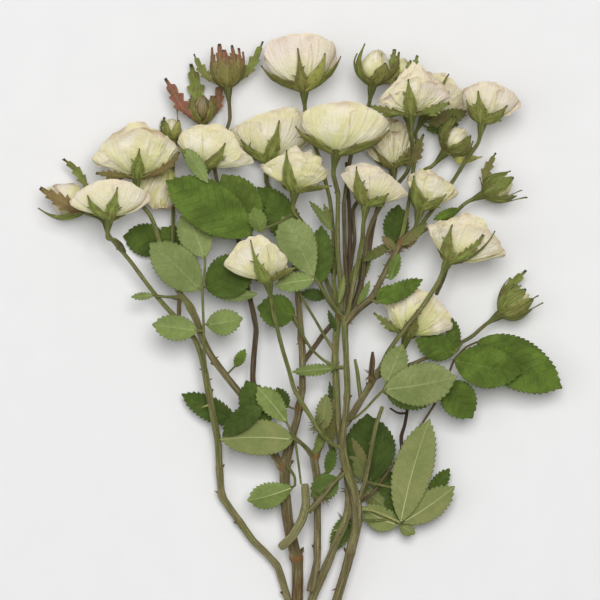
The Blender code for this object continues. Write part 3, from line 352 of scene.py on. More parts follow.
CENTRE_CANE = [
    (1, -135, 2.8, 1.8), (7.5, -113, 5.5, 1.9), (12, -101, 7, 1.9), (15, -91, 8.5, 1.85),
    (18.5, -79, 10, 1.9), (21, -69, 11.5, 2), (23, -61, 12.5, 2), (23, -54.5, 13.5, 2),
    (21.5, -47, 14, 1.9), (19, -40, 14.5, 1.7), (17, -32, 15.2, 1.6), (17, -25, 16, 1.5),
    (18.5, -17, 17, 1.35), (19, -7, 18, 1.3), (18.5, 5, 19, 1.3), (18, 15, 19.5, 1.4), (18, 20, 19.5, 1.4),
    (18, 22.5, 19.5, 0.9),
]
RIGHT_SHOOT = [
    (17.5, -22, 16, 1.5), (21, -17, 17, 1.5), (24, -12, 18, 1.4), (27, -7, 18.5, 1.3), (29.5, -3, 19, 1.2),
    (32, 1.5, 20, 1), (35, 8, 21.5, 0.95), (40, 15, 24, 0.9), (44, 20, 25.5, 0.9), (48, 25, 26, 0.9),
    (52.5, 31.5, 26, 0.9),
]
THORNY_SHOOT = [
    (18, 19, 19.5, 1.3), (21, 23, 20, 1.25), (25, 27, 20.5, 1.2), (28.5, 29.5, 20.5, 1.2),
    (31, 34, 20.5, 1.15), (34, 40, 20, 1.15), (36.5, 45, 20, 1.15), (39, 49.5, 20, 1.1),
    (41.5, 53.5, 20, 1),
]
DARK_SHOOT = [
    (-15, -24, 13, 1.2), (-17.5, -13, 12.5, 1.15), (-19, -3, 12, 1.15), (-18.5, 7, 12, 1.15),
    (-17.5, 17, 12, 1.1), (-19, 25, 12, 1.1), (-21, 33, 11.5, 1.05), (-23, 44, 11, 1),
    (-25, 55, 10.5, 0.95), (-28.5, 67, 11, 0.9),
]

# Flower stalks and side twigs, each from the cane that it grows out of
STALKS = {
    "bloom_01": LEFT_ARM,
    "bloom_02": [(-70.5, 48.2, 12, 0.8), (-71.5, 51, 18, 0.8), (-74, 53, 25, 0.8)],
    "bloom_03": DARK_SHOOT,
    "bloom_04": [(16, 25, 16, 0.9), (13.5, 35, 15, 0.85), (13.5, 45, 14.5, 0.85), (13.5, 55, 15, 0.85),
        (12, 69, 16, 0.8), (8, 85, 17, 0.8), (3.5, 97, 18.5, 0.8)],
    "bloom_05": MAIN_CANE,
    "bloom_06": RIGHT_CANE,
    "bloom_07": [(17, 21, 18.5, 0.9), (11, 29, 18, 0.85), (6, 39, 18, 0.8), (2.5, 51, 19, 0.8),
        (1, 60, 22, 0.85)],
    "bloom_08": [(18, 19, 19.5, 1), (19.5, 25.5, 20, 0.95), (21, 33, 20.5, 0.9), (23, 43, 21, 0.9),
        (25, 53, 23, 0.85)],
    "bloom_09": [(18, 20, 19, 1), (21, 25, 18, 0.9), (24.5, 33, 16, 0.9), (25.5, 44, 14, 0.85),
        (26.5, 53, 13, 0.85), (29.5, 61.5, 13, 0.85), (34, 69, 13, 0.8), (39, 75, 14.5, 0.8),
        (43, 80, 18, 0.8), (45, 87, 22, 0.8)],
    "bloom_10": [(39, 49.5, 20, 0.85), (41, 55, 17, 0.8), (43, 64, 13, 0.75), (44.5, 73, 11, 0.75),
        (45.5, 81.5, 9, 0.75), (47, 91, 7, 0.75)],
    "bloom_11": [(46, 54.5, 15, 0.85), (50, 61, 12, 0.8), (54, 66, 11, 0.8), (58.5, 72.5, 11, 0.8),
        (62, 77.5, 12, 0.8), (66.5, 85, 16, 0.8)],
    "bloom_12": THORNY_SHOOT,
    "bloom_13": RIGHT_SHOOT,
    "bloom_14": [(30, -2, 19, 0.9), (34.5, 2.5, 17, 0.85)],
    "bloom_15": [(17.5, -31, 15.5, 1), (13, -29, 17, 0.95), (8, -24, 19.5, 0.95), (4, -17.5, 21, 0.95),
        (0.5, -12, 22, 0.9), (-2.5, -6.5, 22.5, 0.9), (-4.5, 1, 23, 0.85), (-7, 9, 24, 0.85),
        (-9, 17, 25, 0.85), (-11, 25, 26, 0.85)],
    "bloom_16": [(18, 20, 19, 0.9), (19.5, 29, 17.5, 0.85), (20, 41, 13, 0.8), (22, 53, 10, 0.8),
        (21, 65, 8.5, 0.8), (26, 73, 8, 0.8)],
    "bloom_17": [(-51, 92, 6.5, 0.8)],
    "bud_01": LEFT_CANE,
    "bud_02": [(-28.5, 67, 11, 0.8), (-33, 75, 9, 0.75), (-35, 85, 8.5, 0.75)],
    "bud_03": [(-35, 84, 8.5, 0.75), (-31, 93, 9, 0.75), (-28, 101, 11, 0.75)],
    "bud_04": [(17.5, 20, 18.5, 0.9), (18.5, 33, 16.5, 0.85), (18, 49, 14, 0.8), (17.5, 67, 14, 0.8),
        (20, 85, 15, 0.8), (23, 97.5, 16, 0.8)],
    "bud_05": [(38, 47.5, 20, 0.9), (42, 51.5, 17.5, 0.9), (47, 55, 14.5, 0.85), (52, 58, 11, 0.8),
        (56.5, 60, 9.5, 0.75), (61, 62.5, 9.5, 0.75)],
    "bud_06": [(30, -2.5, 18.5, 0.85), (37, 0.5, 14, 0.8), (46, 3.5, 11, 0.75), (55, 7.5, 9.5, 0.75),
        (62.5, 10.5, 9.5, 0.75), (69, 14, 10, 0.75)],
    "bud_07": [(-53, 42.5, 17, 0.75), (-51, 49, 12, 0.7), (-51, 63, 5, 0.7), (-51, 75, 3.5, 0.7),
        (-51, 83, 4, 0.7)],
    "bud_08": [(45, 90, 24, 0.75), (43, 100, 18.5, 0.7)],
    "bud_09": [(45, 76, 10.5, 0.75), (49.5, 81, 10.5, 0.75)],
}
TWIGS = {
    "cut_stub": [(2, -45, 17, 1.75), (2.5, -53, 16.5, 1.8), (1, -59, 16, 1.8), (-3, -66, 15.5, 1.8),
        (-8, -70.5, 15.5, 1.75)],
    "stub_arm": [(19, -40, 15, 1), (16.5, -41.5, 16, 1), (13, -45, 16.5, 1), (8, -51, 16.5, 1.1),
        (3.5, -56, 16.3, 1.2)],
    "short_cane": [(4, -88, 9.5, 1.55), (7, -76, 9.5, 1.55), (7, -67, 9.5, 1.5), (7, -55, 10, 1.5),
        (7, -43, 10.5, 1.5), (5.5, -34.5, 11.5, 1.6), (9, -27, 12.5, 1.4), (12, -19, 12.5, 1.4),
        (14, -11, 12.5, 1.2)],
    "cross_twig": [(14.5, 21, 15.8, 1), (10, 16, 14.5, 1), (5.5, 9.5, 13.5, 1), (1.5, 4, 13, 1)],
    "left_fork": [(-10, -33, 11.8, 1), (-13.5, -32, 11.5, 0.9), (-15, -29, 11.5, 0.7)],
    "dead_twig": [(-48, 31, 17, 0.9), (-48.5, 26, 16, 0.9), (-48.5, 22, 15.5, 0.9)],
    "thin_shoot": [(24, -51, 13.5, 1), (26.5, -42.5, 14.5, 0.9), (28.5, -31, 15.5, 0.85),
        (30.5, -21, 16, 0.85), (33, -14, 16.5, 0.8)],
    "red_shoot": [(28.5, -4, 19, 1), (28.5, 0, 21, 1.1), (29, 4, 22, 1.2), (29, 8, 22.5, 0.5)],
    "green_shoot": [(24.5, -11, 18, 0.9), (23.5, -5, 18.5, 0.8), (23, 0, 18.5, 0.8), (22, 5, 18, 0.6)],
    "broken_stalk": [(59, 43, 22.5, 1), (57, 36.5, 21, 0.8), (54.5, 31, 20, 0.8)],
}

# Stray stalks that thicken the fork of the shoots: their rows, and how woody, dark and red they are. Their
# darkness is painted shade, for the shade in the fork below the stalks above them
STRAYS = [
    ([(19.5, 21, 15, 1.1), (22.9, 30, 13.6, 1.2), (25, 38, 12.6, 1.2), (27.4, 47, 11.8, 1),
        (28.8, 56, 11.5, 0.9), (30.8, 65, 11.5, 0.8), (33, 72, 11.5, 0.6)], (0.75, 0.65, 0.2)),
    ([(18.6, 22, 14, 0.9), (18.8, 32, 12.5, 0.95), (19.7, 44, 11.4, 0.9), (20.2, 56, 10.8, 0.85),
        (19.6, 68, 10.6, 0.8), (18.6, 84, 11, 0.6)], (0.7, 0.75, 0)),
    ([(17, 21.5, 15.5, 0.9), (13.6, 29, 14.6, 0.95), (10.8, 36, 13.8, 0.9), (8, 43, 13.2, 0.7)],
        (0.25, 0.45, 0)),
    ([(19.6, 20.6, 17.4, 0.8), (24, 25, 17, 0.75), (29, 28.6, 16.8, 0.7), (33, 31, 17, 0.6)],
        (0.1, 0.1, 0)),
]

# Bark of each route: wood and darkness at its start and at its end
GREEN_STALK = ((0.25, 0), (0.1, 0))
BARKS = {
    "bloom_05": ((1, 0.1), (0.3, 0.1)), "bloom_01": ((0.75, 0.15), (0.05, 0)),
    "bud_01": ((0.45, -0.4), (0.15, 0)), "bloom_06": ((0.55, -0.3), (0.15, 0.1)),
    "centre": ((0.5, 0.1), (0.35, 0)), "bloom_13": ((0.5, 0.1), (0.1, 0)),
    "bloom_12": ((0.6, 0.2), (0.3, 0.1)), "bloom_03": ((0.9, 0.75), (0.5, 0.5)),
    "bloom_14": ((0.5, 0.3), (0.2, 0.1)), "bud_02": ((0.6, 0.4), (0.4, 0.3)),
    "bud_03": ((0.6, 0.4), (0.5, 0.4)), "bud_04": ((0.6, 0.6), (0.3, 0.2)),
    "bloom_09": ((0.7, 0.55), (0.1, 0)), "bloom_16": ((0.7, 0.6), (0.5, 0.5)),
    "bud_06": ((0.5, 0.3), (0.3, 0.2)), "cut_stub": ((0.3, -0.7), (0.35, -0.7)),
    "stub_arm": ((0.5, 0.1), (0.35, 0)), "short_cane": ((0.5, 0.15), (0.4, 0.15)),
    "cross_twig": ((0.7, 0.5), (0.7, 0.5)), "left_fork": ((0.8, 0.3), (0.5, 0.2)),
    "dead_twig": ((0.9, 0.3), (0.8, 0.3)), "thin_shoot": ((0.5, 0.1), (0.15, 0)),
    "red_shoot": ((1, 0.4), (1, 0.7)), "green_shoot": ((0.4, 0), (0, 0)),
    "broken_stalk": ((0.4, 0.3), (0.4, 0.5)),
}

# Prickles: foot near x and y, heading in plan in degrees, length and wood share
PRICKLES = [
    (-32.5, -50, 150, 2.6, 1), (-8.4, -76.8, 110, 1.8, 1), (-31.5, -12, 200, 3.4, -0.6),
    (14.2, -86, 200, 3, 1), (17.5, -64, 185, 2.8, -0.6), (20, -43.5, 210, 1.4, 1),
    (-35.6, -3, 20, 1.8, 0.3), (-36.4, 1, 160, 1.8, 0.3), (-36.6, 4, 30, 1.6, 0.3),
    (-37.2, 7, 150, 1.8, 0.3), (-43.5, 14.6, 210, 1.2, 0.8), (-5.5, -34, 190, 1.6, 1),
    (-16, -10, 20, 1.5, 0.8), (16.5, -31, 165, 1.5, 0.2), (36, 44, -30, 1.6, 0.3), (35, 42, 150, 1.5, 0.3),
    (34, 39.5, -20, 1.6, 0.3), (33, 38, 160, 1.4, 0.3), (37.5, 46.5, -30, 1.5, 0.3),
    (38.5, 48, 150, 1.3, 0.3), (32, 35.5, -10, 1.3, 0.3), (31, 34.5, 170, 1.4, 0.3),
    (5.5, -28, 180, 1.6, 0), (10, -20, 10, 1.5, 0.2), (24.5, -28, 170, 1.2, 0.2), (-42, 16, 100, 1.2, 0.9),
    (1, 2, 200, 1.2, 0.8), (-4, -58, 10, 1, 0.8),
]

# Tufts of dry stipules: x, y, reach, slivers and wood share
TUFTS = [
    (4.5, -22.5, 5, 16, 0), (7.5, -24.5, 4.5, 12, 0.2), (9, -50, 5, 12, 0.1), (12.5, -53, 4.5, 10, 0.3),
    (19.5, -48, 4, 8, 0.9), (28.5, -1, 4.5, 12, 0.9), (11, 1.2, 4, 10, -0.4), (35, 49.5, 4, 9, 0.9),
    (41, 52, 4.5, 9, 0.9), (18, 21, 3.5, 9, 0.9), (-49, 29, 2.6, 7, 1), (2, 12.5, 3, 7, 0.8),
    (20, -60.5, 4, 8, 0.2), (-31, -66, 2, 4, 0.9),
]

# Nodes: x, y, how far the bark swells and how red it is
KNOTS = [
    (-1, -75, 0.22, 1), (-8, -38.5, 0.3, 1), (5.5, -33.5, 0.3, 1), (-32, -50, 0.2, 0.5),
    (20.5, -53, 0.15, 0.4), (-8, -77, 0.2, 0.8), (0.5, -14.5, 0.3, 0.9), (19, -30, 0.12, 0.3),
    (1, 13, 0.25, 0.6), (-42.5, 26, 0.25, 0.9), (15.8, 22.5, 0.2, 0.7), (-3.5, 50, 0.15, 0.4),
    (28, -2.5, 0.2, 0.9), (21, 22, 0.15, 0.5), (40.5, 52, 0.3, 0.9), (44.5, 84, 0.15, 0.4),
]

# Open blooms: base, reach to the right, top and left, depth, and the tips of the front sepals
BLOOMS = {
    "bloom_01": Bloom((-65, 78.5, 20), (17, 12.5), (2, 21), (-17, 7.5), 8, [(1, 11.5), (-15.5, 2),
        (15, 10)]),
    "bloom_02": Bloom((-76, 62, 28.5), (15, 9), (2, 15.5), (-15.5, 5), 5.5, [(-8, 9), (3, 12)]),
    "bloom_03": Bloom((-38, 82.5, 22), (20, 2.5), (4, 17), (-10, 11), 6.5, [(-8.5, 9), (8, 9.5)]),
    "bloom_04": Bloom((1.5, 113.5, 21), (11.5, 13), (-1, 20.5), (-15, 11), 7.5, [(-2, 16), (-15, 9.5),
        (11.5, 13)]),
    "bloom_05": Bloom((-13, 85, 7.5), (17.5, 13), (1.5, 20), (-14.5, 12), 7, [(-9.5, 9), (4.5, 16)]),
    "bloom_06": Bloom((14.5, 88, 32), (20.5, 11), (3, 19), (-14, 11), 8, [(-14, 10.5), (19, 9.5), (3, 13)]),
    "bloom_07": Bloom((-2, 73, 29), (12, 7), (2, 16.5), (-13, 11), 7, [(-2.5, 15.5), (12.5, 3)]),
    "bloom_08": Bloom((26.5, 67.5, 29), (15, 4.5), (2.5, 17), (-9, 14.5), 7, [(-3, 14.5), (8, 5)]),
    "bloom_09": Bloom((44.5, 103.5, 32), (13, 8.5), (0, 21), (-16, 5), 8, [(-1, 13.5), (-15.5, 4),
        (13, 5)]),
    "bloom_10": Bloom((50.5, 103.5, 6.4), (16, 4), (9, 16), (-2.5, 13), 6, [(9, 16)]),
    "bloom_11": Bloom((73, 100.5, 22), (14.5, 9), (3, 16.5), (-8.5, 13), 6.5,
        [(-1, 12), (-5, 8.5), (8.5, 7)]),
    "bloom_12": Bloom((48, 66, 21), (15, 8.5), (3, 15.5), (-3, 14), 6, [(-1, 12.5), (9.5, 6)]),
    "bloom_13": Bloom((59.5, 45, 25), (22, 5), (8.5, 18.5), (-7, 15), 7.5, [(2, 14), (13, 10.5), (17, 12)]),
    "bloom_14": Bloom((43, 15, 14.5), (17, 4), (5, 17.5), (-7, 14), 6, [(-11, 9), (4, 10.5)]),
    "bloom_15": Bloom((-13, 37, 31), (9, 8), (-3.5, 18), (-16.5, 7), 7, [(-6, 16), (9.5, 6)]),
    "bloom_16": Bloom((37, 83, 9), (7.5, 12), (-2, 18), (-12.5, 10), 5, [(6, 4)]),
    "bloom_17": Bloom((-53, 83, 10), (3, -17), (-5.5, -17), (-14, -14), 4.5, [(-4, -8)]),
}

# Buds: base, reach of the tip, radius, and the tips of the sepals
BUDS = {
    "bud_01": Bud((-86.5, 65.5, 11), (-13, 8), 6.4, [(-8.5, 18), (-16.5, 8.5), (-16.5, 1.5)]),
    "bud_02": Bud((-39, 100.5, 9), (-0.5, 10), 4, [(-3.5, 22), (-12.6, 15.9), (5.6, 15), (-0.5, 20)]),
    "bud_03": Bud((-29, 115, 13), (-1, 12), 4.8, [(-5, 14), (-2.6, 15.4), (1.2, 14.4), (11.8, 16.2)]),
    "bud_04": Bud((29, 115.5, 19), (2, 13), 6, [(-2, 14.5), (5.5, 14), (8.5, 11.5)]),
    "bud_05": Bud((74.5, 71.5, 12), (10, 4.5), 4, [(4.3, 14.3), (8.6, 6.4), (12.6, 2.4)]),
    "bud_06": Bud((81, 23.5, 11), (10, 7), 4.6, [(9.5, 15.4), (4, 12.2), (14.8, 5.5)]),
    "bud_07": Bud((-51, 94, 6), (0, 7), 3, [(-1.4, 6.8), (1.5, 10.2)]),
    "bud_08": Bud((40, 118, 17), (1.5, 7), 3.2, [(-0.7, 9.3), (4.6, 7.8)]),
    "bud_09": Bud((59, 89, 10), (7, 8), 5.2, [(3, 11), (8, 4)]),
}

# Outlines of the open blooms, from right to left round the rim, measured from each bloom's base
RIMS = {
    "bloom_01": [(9.8, 6.1), (13.3, 9.6), (16.6, 13.7), (14.5, 16.7), (11, 18.2), (7.5, 19.4), (3.3, 21),
        (-1.4, 21.3), (-4.9, 20.6), (-10.2, 19), (-13.1, 16.1), (-14.3, 12.6), (-16.4, 10.8), (-17.5, 8.4),
        (-16.1, 5.7), (-13.1, 4.1)],
    "bloom_02": [(8.2, 2.2), (13.5, 6.4), (14.9, 8.9), (14.4, 10.2), (11.1, 11.3), (8.2, 13.8), (2.3, 14.6),
        (-3.6, 14), (-8.3, 12.2), (-12.4, 9.9), (-15.7, 5.7), (-13.9, 3.8), (-8.6, 1.7)],
    "bloom_03": [(11.8, -0.3), (18.3, -0.5), (19.8, 2), (18.9, 4.5), (14.2, 8.7), (13, 12.8), (9.5, 14.5),
        (6, 16), (0.1, 16.9), (-4.6, 16.4), (-8.1, 15.1), (-9.9, 11.2), (-7.9, 8.7), (-5.8, 5.1)],
    "bloom_04": [(5.8, 3.8), (9.9, 8.5), (11.5, 13), (11.7, 16.7), (10.8, 19.3), (8.1, 20.5), (4, 21.2),
        (-1.9, 21.5), (-7.7, 20.8), (-12.4, 19.4), (-14.6, 17.3), (-15, 13.2), (-14.6, 9.7), (-11.3, 5.3)],
    "bloom_05": [(11.2, 4.7), (16.3, 9.7), (18, 12.7), (19.2, 15.8), (18.3, 19.4), (12.7, 20.3),
        (4.5, 19.7), (-2.6, 18.5), (-9.6, 16.2), (-13.7, 13.2), (-14.7, 9.9), (-10.2, 7), (-7.3, 4.7)],
    "bloom_06": [(9.8, 4.9), (15.7, 8.7), (21, 11.3), (19.2, 14), (15.7, 16.4), (11, 19.1), (3.9, 19.3),
        (-3.1, 19.1), (-8.4, 18.3), (-11.7, 16.6), (-12.9, 13.7), (-13.1, 11.1), (-10.2, 6.4)],
    "bloom_07": [(8.1, 2.1), (10.4, 5), (12.2, 8.8), (11.8, 12.1), (9.8, 14.4), (6.9, 14.6), (2.8, 15.1),
        (-0.7, 16.3), (-5.4, 15.4), (-8.4, 13.5), (-12.3, 11.1), (-10.4, 8), (-8.4, 3.9)],
    "bloom_08": [(9.3, -0.7), (12.9, 0.4), (15.2, 2.7), (15.6, 6.3), (13.4, 9.2), (10.5, 11.6), (7, 13.9),
        (3.4, 15.4), (-1.3, 15.9), (-6, 15.8), (-10.1, 15.4), (-8.7, 11.3), (-6.9, 6.9), (-4, 2.2)],
    "bloom_09": [(8.1, 1.6), (12.5, 2.7), (16.4, 5.1), (15.2, 11.6), (11.3, 15.7), (6, 17.7), (1.9, 20),
        (-2.4, 17.2), (-6.3, 15.1), (-9.8, 11.8), (-12.8, 9), (-15.4, 5.1), (-11, 1.9)],
    "bloom_11": [(6.1, 1.2), (10.2, 5.1), (13.7, 8.4), (14.4, 9.8), (10.8, 13.3), (6.1, 15.5), (1.4, 16.3),
        (-3.3, 15.3), (-6.9, 13.6), (-7.8, 10.4), (-6.3, 6.3), (-3.7, 2.2)],
    "bloom_12": [(6.3, 1.1), (9.5, 3.7), (13.6, 7.2), (15, 9.5), (10.7, 11.3), (8.3, 12.7), (4.8, 14.5),
        (0.1, 14.9), (-3.1, 14.5), (-3.8, 10.7), (-3.7, 5.4), (-1.9, 1.3)],
    "bloom_13": [(5, -1.8), (13.2, -2), (17.9, 1.2), (20.8, 3.6), (23.7, 6.5), (20.3, 10.7), (16.7, 14.2),
        (12, 17.1), (9.1, 19.5), (6.1, 20.1), (2.6, 17.9), (-2.7, 16.5), (-7, 15), (-6.3, 8.9), (-5, 4.2)],
    "bloom_14": [(10.8, 0.9), (16.6, 2), (17.6, 6.4), (15, 10.9), (12, 14.4), (7.3, 16.7), (1.4, 18),
        (-3.3, 16.9), (-6.7, 15), (-7.1, 12.9), (-6.2, 8.5), (-2.7, 3.2)],
    "bloom_15": [(3.9, 1.8), (6.8, 5), (5.4, 7.9), (4.2, 11.5), (3.1, 14.7), (0.6, 16.7), (-4.1, 17.9),
        (-8.8, 17.4), (-12.9, 14.9), (-15.9, 11.5), (-17.2, 7.7), (-16.1, 4.2), (-13.5, 1.8), (-7.6, 0.3)],
    "bloom_16": [(5.5, 6.2), (7.8, 13.8), (7, 16.8), (3.7, 18.5), (-1, 17.5), (-5.1, 14.7), (-9.5, 10.7),
        (-11.8, 6.2), (-12.2, 2.9), (-5.7, 0.9)],
}

# Looks: how crumpled, pink, green and brown the petals are. For blooms also how far the front petal is
# turned aside, how the whorls step up, and the petals of a whorl
LOOKS = {
    "bloom_01": (1, 0.2, 0.6, 0.55, 0, 0.6, 5), "bloom_02": (0.2, 0.6, 0.1, 0.1, 0.15, 0.1, 5),
    "bloom_03": (0.3, 0.15, 0.3, 0.2, 0.45, 0.4, 5), "bloom_04": (0.2, 0.85, 0.15, 0.1, 0, 0.1, 5),
    "bloom_05": (0.4, 0.3, 0.35, 0.2, 0, 0.3, 5), "bloom_06": (0.4, 0.2, 0.4, 0.35, 0.1, 0.2, 5),
    "bloom_07": (1, 0.25, 0.8, 0.2, 0.4, 0.6, 5), "bloom_08": (0.4, 0.5, 0.35, 0.2, 0.2, 0.5, 5),
    "bloom_09": (1, 0.65, 0.4, 0.35, 0, 1, 6), "bloom_10": (0.8, 0.4, 0.5, 0.25, 0.3, 0.3, 5),
    "bloom_11": (0.45, 0.85, 0.2, 0.3, 0, 0.3, 5), "bloom_12": (0.9, 0.15, 0.6, 0.3, 0.3, 0.6, 5),
    "bloom_13": (0.9, 0.35, 0.4, 0.3, 0.2, 0.6, 5), "bloom_14": (0.8, 0.45, 1, 0.25, 0.5, 0.3, 5),
    "bloom_15": (0.25, 0.15, 0.3, 0.1, 0.1, 0.5, 5), "bloom_16": (1, 0.25, 0.3, 0.75, 0, 0.6, 9),
    "bloom_17": (0.7, 0, 1.3, 0.85, 0, 0.2, 6), "bud_01": (0.6, 0.6, 0.4, 0.5),
    "bud_02": (0.3, 0.1, 1.4, 1.7), "bud_03": (0.3, 0.5, 0.7, 1.1), "bud_04": (0.5, 0.1, 1, 0.2),
    "bud_05": (0.3, 0.1, 1.1, 0.1), "bud_06": (0.3, 0.1, 1.2, 0.3), "bud_07": (0.4, 0.1, 1.3, 0.5),
    "bud_08": (0.6, 0.1, 0.9, 0.2), "bud_09": (0.6, 0.2, 0.6, 0.3),
}

# Sepals that differ from the rest: width, outline, redness, darkness and redness of the tip
ODD_SEPALS = {
    "bloom_01": {0: (4.6, LANCE, 0, 0.2, 0), 1: (3.4, FERN, 0.3, 0.8, 0), 2: (3.4, FERN, 0.35, 0.8, 0)},
    "bloom_02": {0: (3.8, LANCE, 0, 0.2, 0), 1: (4.4, LANCE, 0, 0.1, 0)},
    "bloom_04": {0: (6, SLIM, 0.2, 0.3, 0.3), 1: (4.4, BROAD, 0, 0.6, 0.3)},
    "bloom_06": {0: (5.2, LANCE, 0.1, 0.3, 0.3), 1: (5.4, LANCE, 0.1, 0.4, 0.5), 2: (0, SLIM, 0, 0, 0)},
    "bloom_09": {1: (3.4, FERN, 0, 0.5, 0), 2: (3.4, FERN, 0, 0.5, 0)},
    "bloom_13": {1: (3.8, FERN, 0, 0.2, 0), 2: (2.2, SLIM, 0, 0.9, 0)},
    "bloom_14": {0: (2.6, FERN, 0, 0.5, 0)},
    "bloom_15": {0: (4.8, SLIM, 0, 0.1, 0)},
    "bud_01": {0: (4, PLUME, 0, 0.5, 0), 1: (6, FERN, 0.55, 0.2, 0), 2: (5, BROAD, 0, 0, 0)},
    "bud_02": {0: (6, PLUME, 0, 0.2, 0), 1: (5.4, PLUME, 1, 0, 0), 2: (4.4, PLUME, 0.95, 0.1, 0),
        3: (0, SLIM, 0, 0, 0)},
    "bud_03": {0: (3.4, CROWN, 0.3, 0.5, 0.8), 1: (4.6, CROWN, 0.3, 0.4, 0.9),
        2: (4.6, CROWN, 0.35, 0.3, 0.9), 3: (4.2, PLUME, 0, 0.2, 0)},
    "bud_04": {0: (4, BROAD, 0, 0.4, 0), 1: (0, SLIM, 0, 0, 0), 2: (5.5, CLOSED, 0.2, 0.4, 0.2)},
    "bud_05": {0: (3.8, PLUME, 0.15, 0.6, 0), 1: (5.4, CLOSED, 0, 0.5, 0), 2: (1.6, SLIM, 0, 0.9, 0)},
    "bud_06": {0: (4.6, PLUME, 0, 0.3, 0), 1: (2.2, SLIM, 0, 0.8, 0), 2: (1.8, SLIM, 0, 0.8, 0)},
    "bud_07": {0: (2.2, FERN, 0, 0.7, 0), 1: (1.4, SLIM, 0, 0.4, 0)},
    "bud_08": {0: (2.8, FERN, 0, 0.4, 0), 1: (2.6, FERN, 0, 0.4, 0)},
    "bud_09": {0: (6, CLOSED, 0, 0.5, 0), 1: (6, CLOSED, 0.1, 0.5, 0)},
}

# More sepals, each with its tip before the rest
MORE_SEPALS = {
    "bloom_04": [((7.3, 14), 5.6, BROAD, 0, -0.6, 0)],
    "bloom_10": [((15, 1), 5, BROAD, 0.3, 0.8, 0), ((11, -2), 4, FERN, 0.2, 0.7, 0)],
    "bloom_16": [((10, 7), 4.5, FERN, 0.3, 0.6, 0), ((9.5, 12), 4, FERN, 0.2, 0.7, 0),
        ((-7, 9), 3, SLIM, 0.3, 0.5, 0)],
    "bloom_17": [((0.5, -8), 4, BROAD, 0.3, 0.7, 0)],
    "bud_02": [((-1.9, 9), 4.6, CLOSED, 0.2, 0.4, 0.3), ((1.7, 9.2), 4, CLOSED, 0.25, 0.3, 0.5),
        ((2.3, 8.4), 3.4, CLOSED, 0.25, 0.6, 0.3), ((-2.6, 8), 3.2, CLOSED, 0.25, 0.6, 0.3)],
    "bud_03": [((-11, 11.3), 3.8, PLUME, 0.1, 0.4, 0), ((-1, 12.6), 5.6, CROWN, 0.3, 0.3, 1),
        ((3, 13.6), 4.2, CROWN, 0.3, 0.3, 1), ((4, 11.6), 3.6, CROWN, 0.35, 0.5, 0.8), ((-4, 12), 3.6,
        CROWN, 0.35, 0.5, 0.8)],
    "bud_04": [((-4.6, 11), 3.6, BROAD, 0, 0.3, 0), ((4, 7.6), 6.5, CLOSED, 0.2, 0.3, 0.3),
        ((7.4, 8), 4, FERN, 0.2, 0.4, 0)],
    "bud_05": [((10.6, 5.4), 4.4, CLOSED, 0, 0.5, 0), ((10, 0.6), 5.2, CLOSED, 0, 0.4, 0),
        ((9.6, 6.8), 1.8, SLIM, 0, 0.8, 0), ((14.2, 0.2), 2, SLIM, 0, 0.5, 0),
        ((-0.8, 5), 1.4, SLIM, 0, 0.9, 0)],
    "bud_06": [((8, 8.8), 5.4, CLOSED, 0, 0.3, 0), ((9.6, 8), 4.6, CLOSED, 0, 0.4, 0), ((10.6, 6.2), 5.2,
        CLOSED, 0.15, 0.3, 0), ((9.6, 3.4), 5, CLOSED, 0.05, 0.5, 0), ((5.4, 9), 4, CLOSED, 0, 0.5, 0),
        ((13, 7.6), 1.4, SLIM, 0, 0.9, 0)],
    "bud_07": [((0.8, 5.6), 2.4, CLOSED, 0.1, -0.6, 0), ((-1.2, 5.4), 2.8, CLOSED, 0.1, 0, 0)],
    "bud_08": [((2.4, 6), 3, CLOSED, 0, 0.3, 0)],
    "bud_09": [((4.4, 10.6), 6.4, CLOSED, 0, 0.7, 0), ((1.6, 9.6), 5, CLOSED, 0.1, 0.6, 0), ((8.2, 1.6),
        4.6, CLOSED, 0.1, 0.6, 0), ((7.6, 6), 5.6, CLOSED, 0.1, 0.5, 0),
        ((12.4, -1.6), 5.4, BROAD, 0, -1, 0), ((-0.8, 8.4), 5, CLOSED, 0, 0.8, 0)],
}

# Sepals that stand behind their bud
BEHIND = {
    ("bud_01", 0), ("bud_02", 0), ("bud_02", 2), ("bud_03", 3), ("bud_05", 0), ("bud_06", 0), ("bud_07", 0),
}

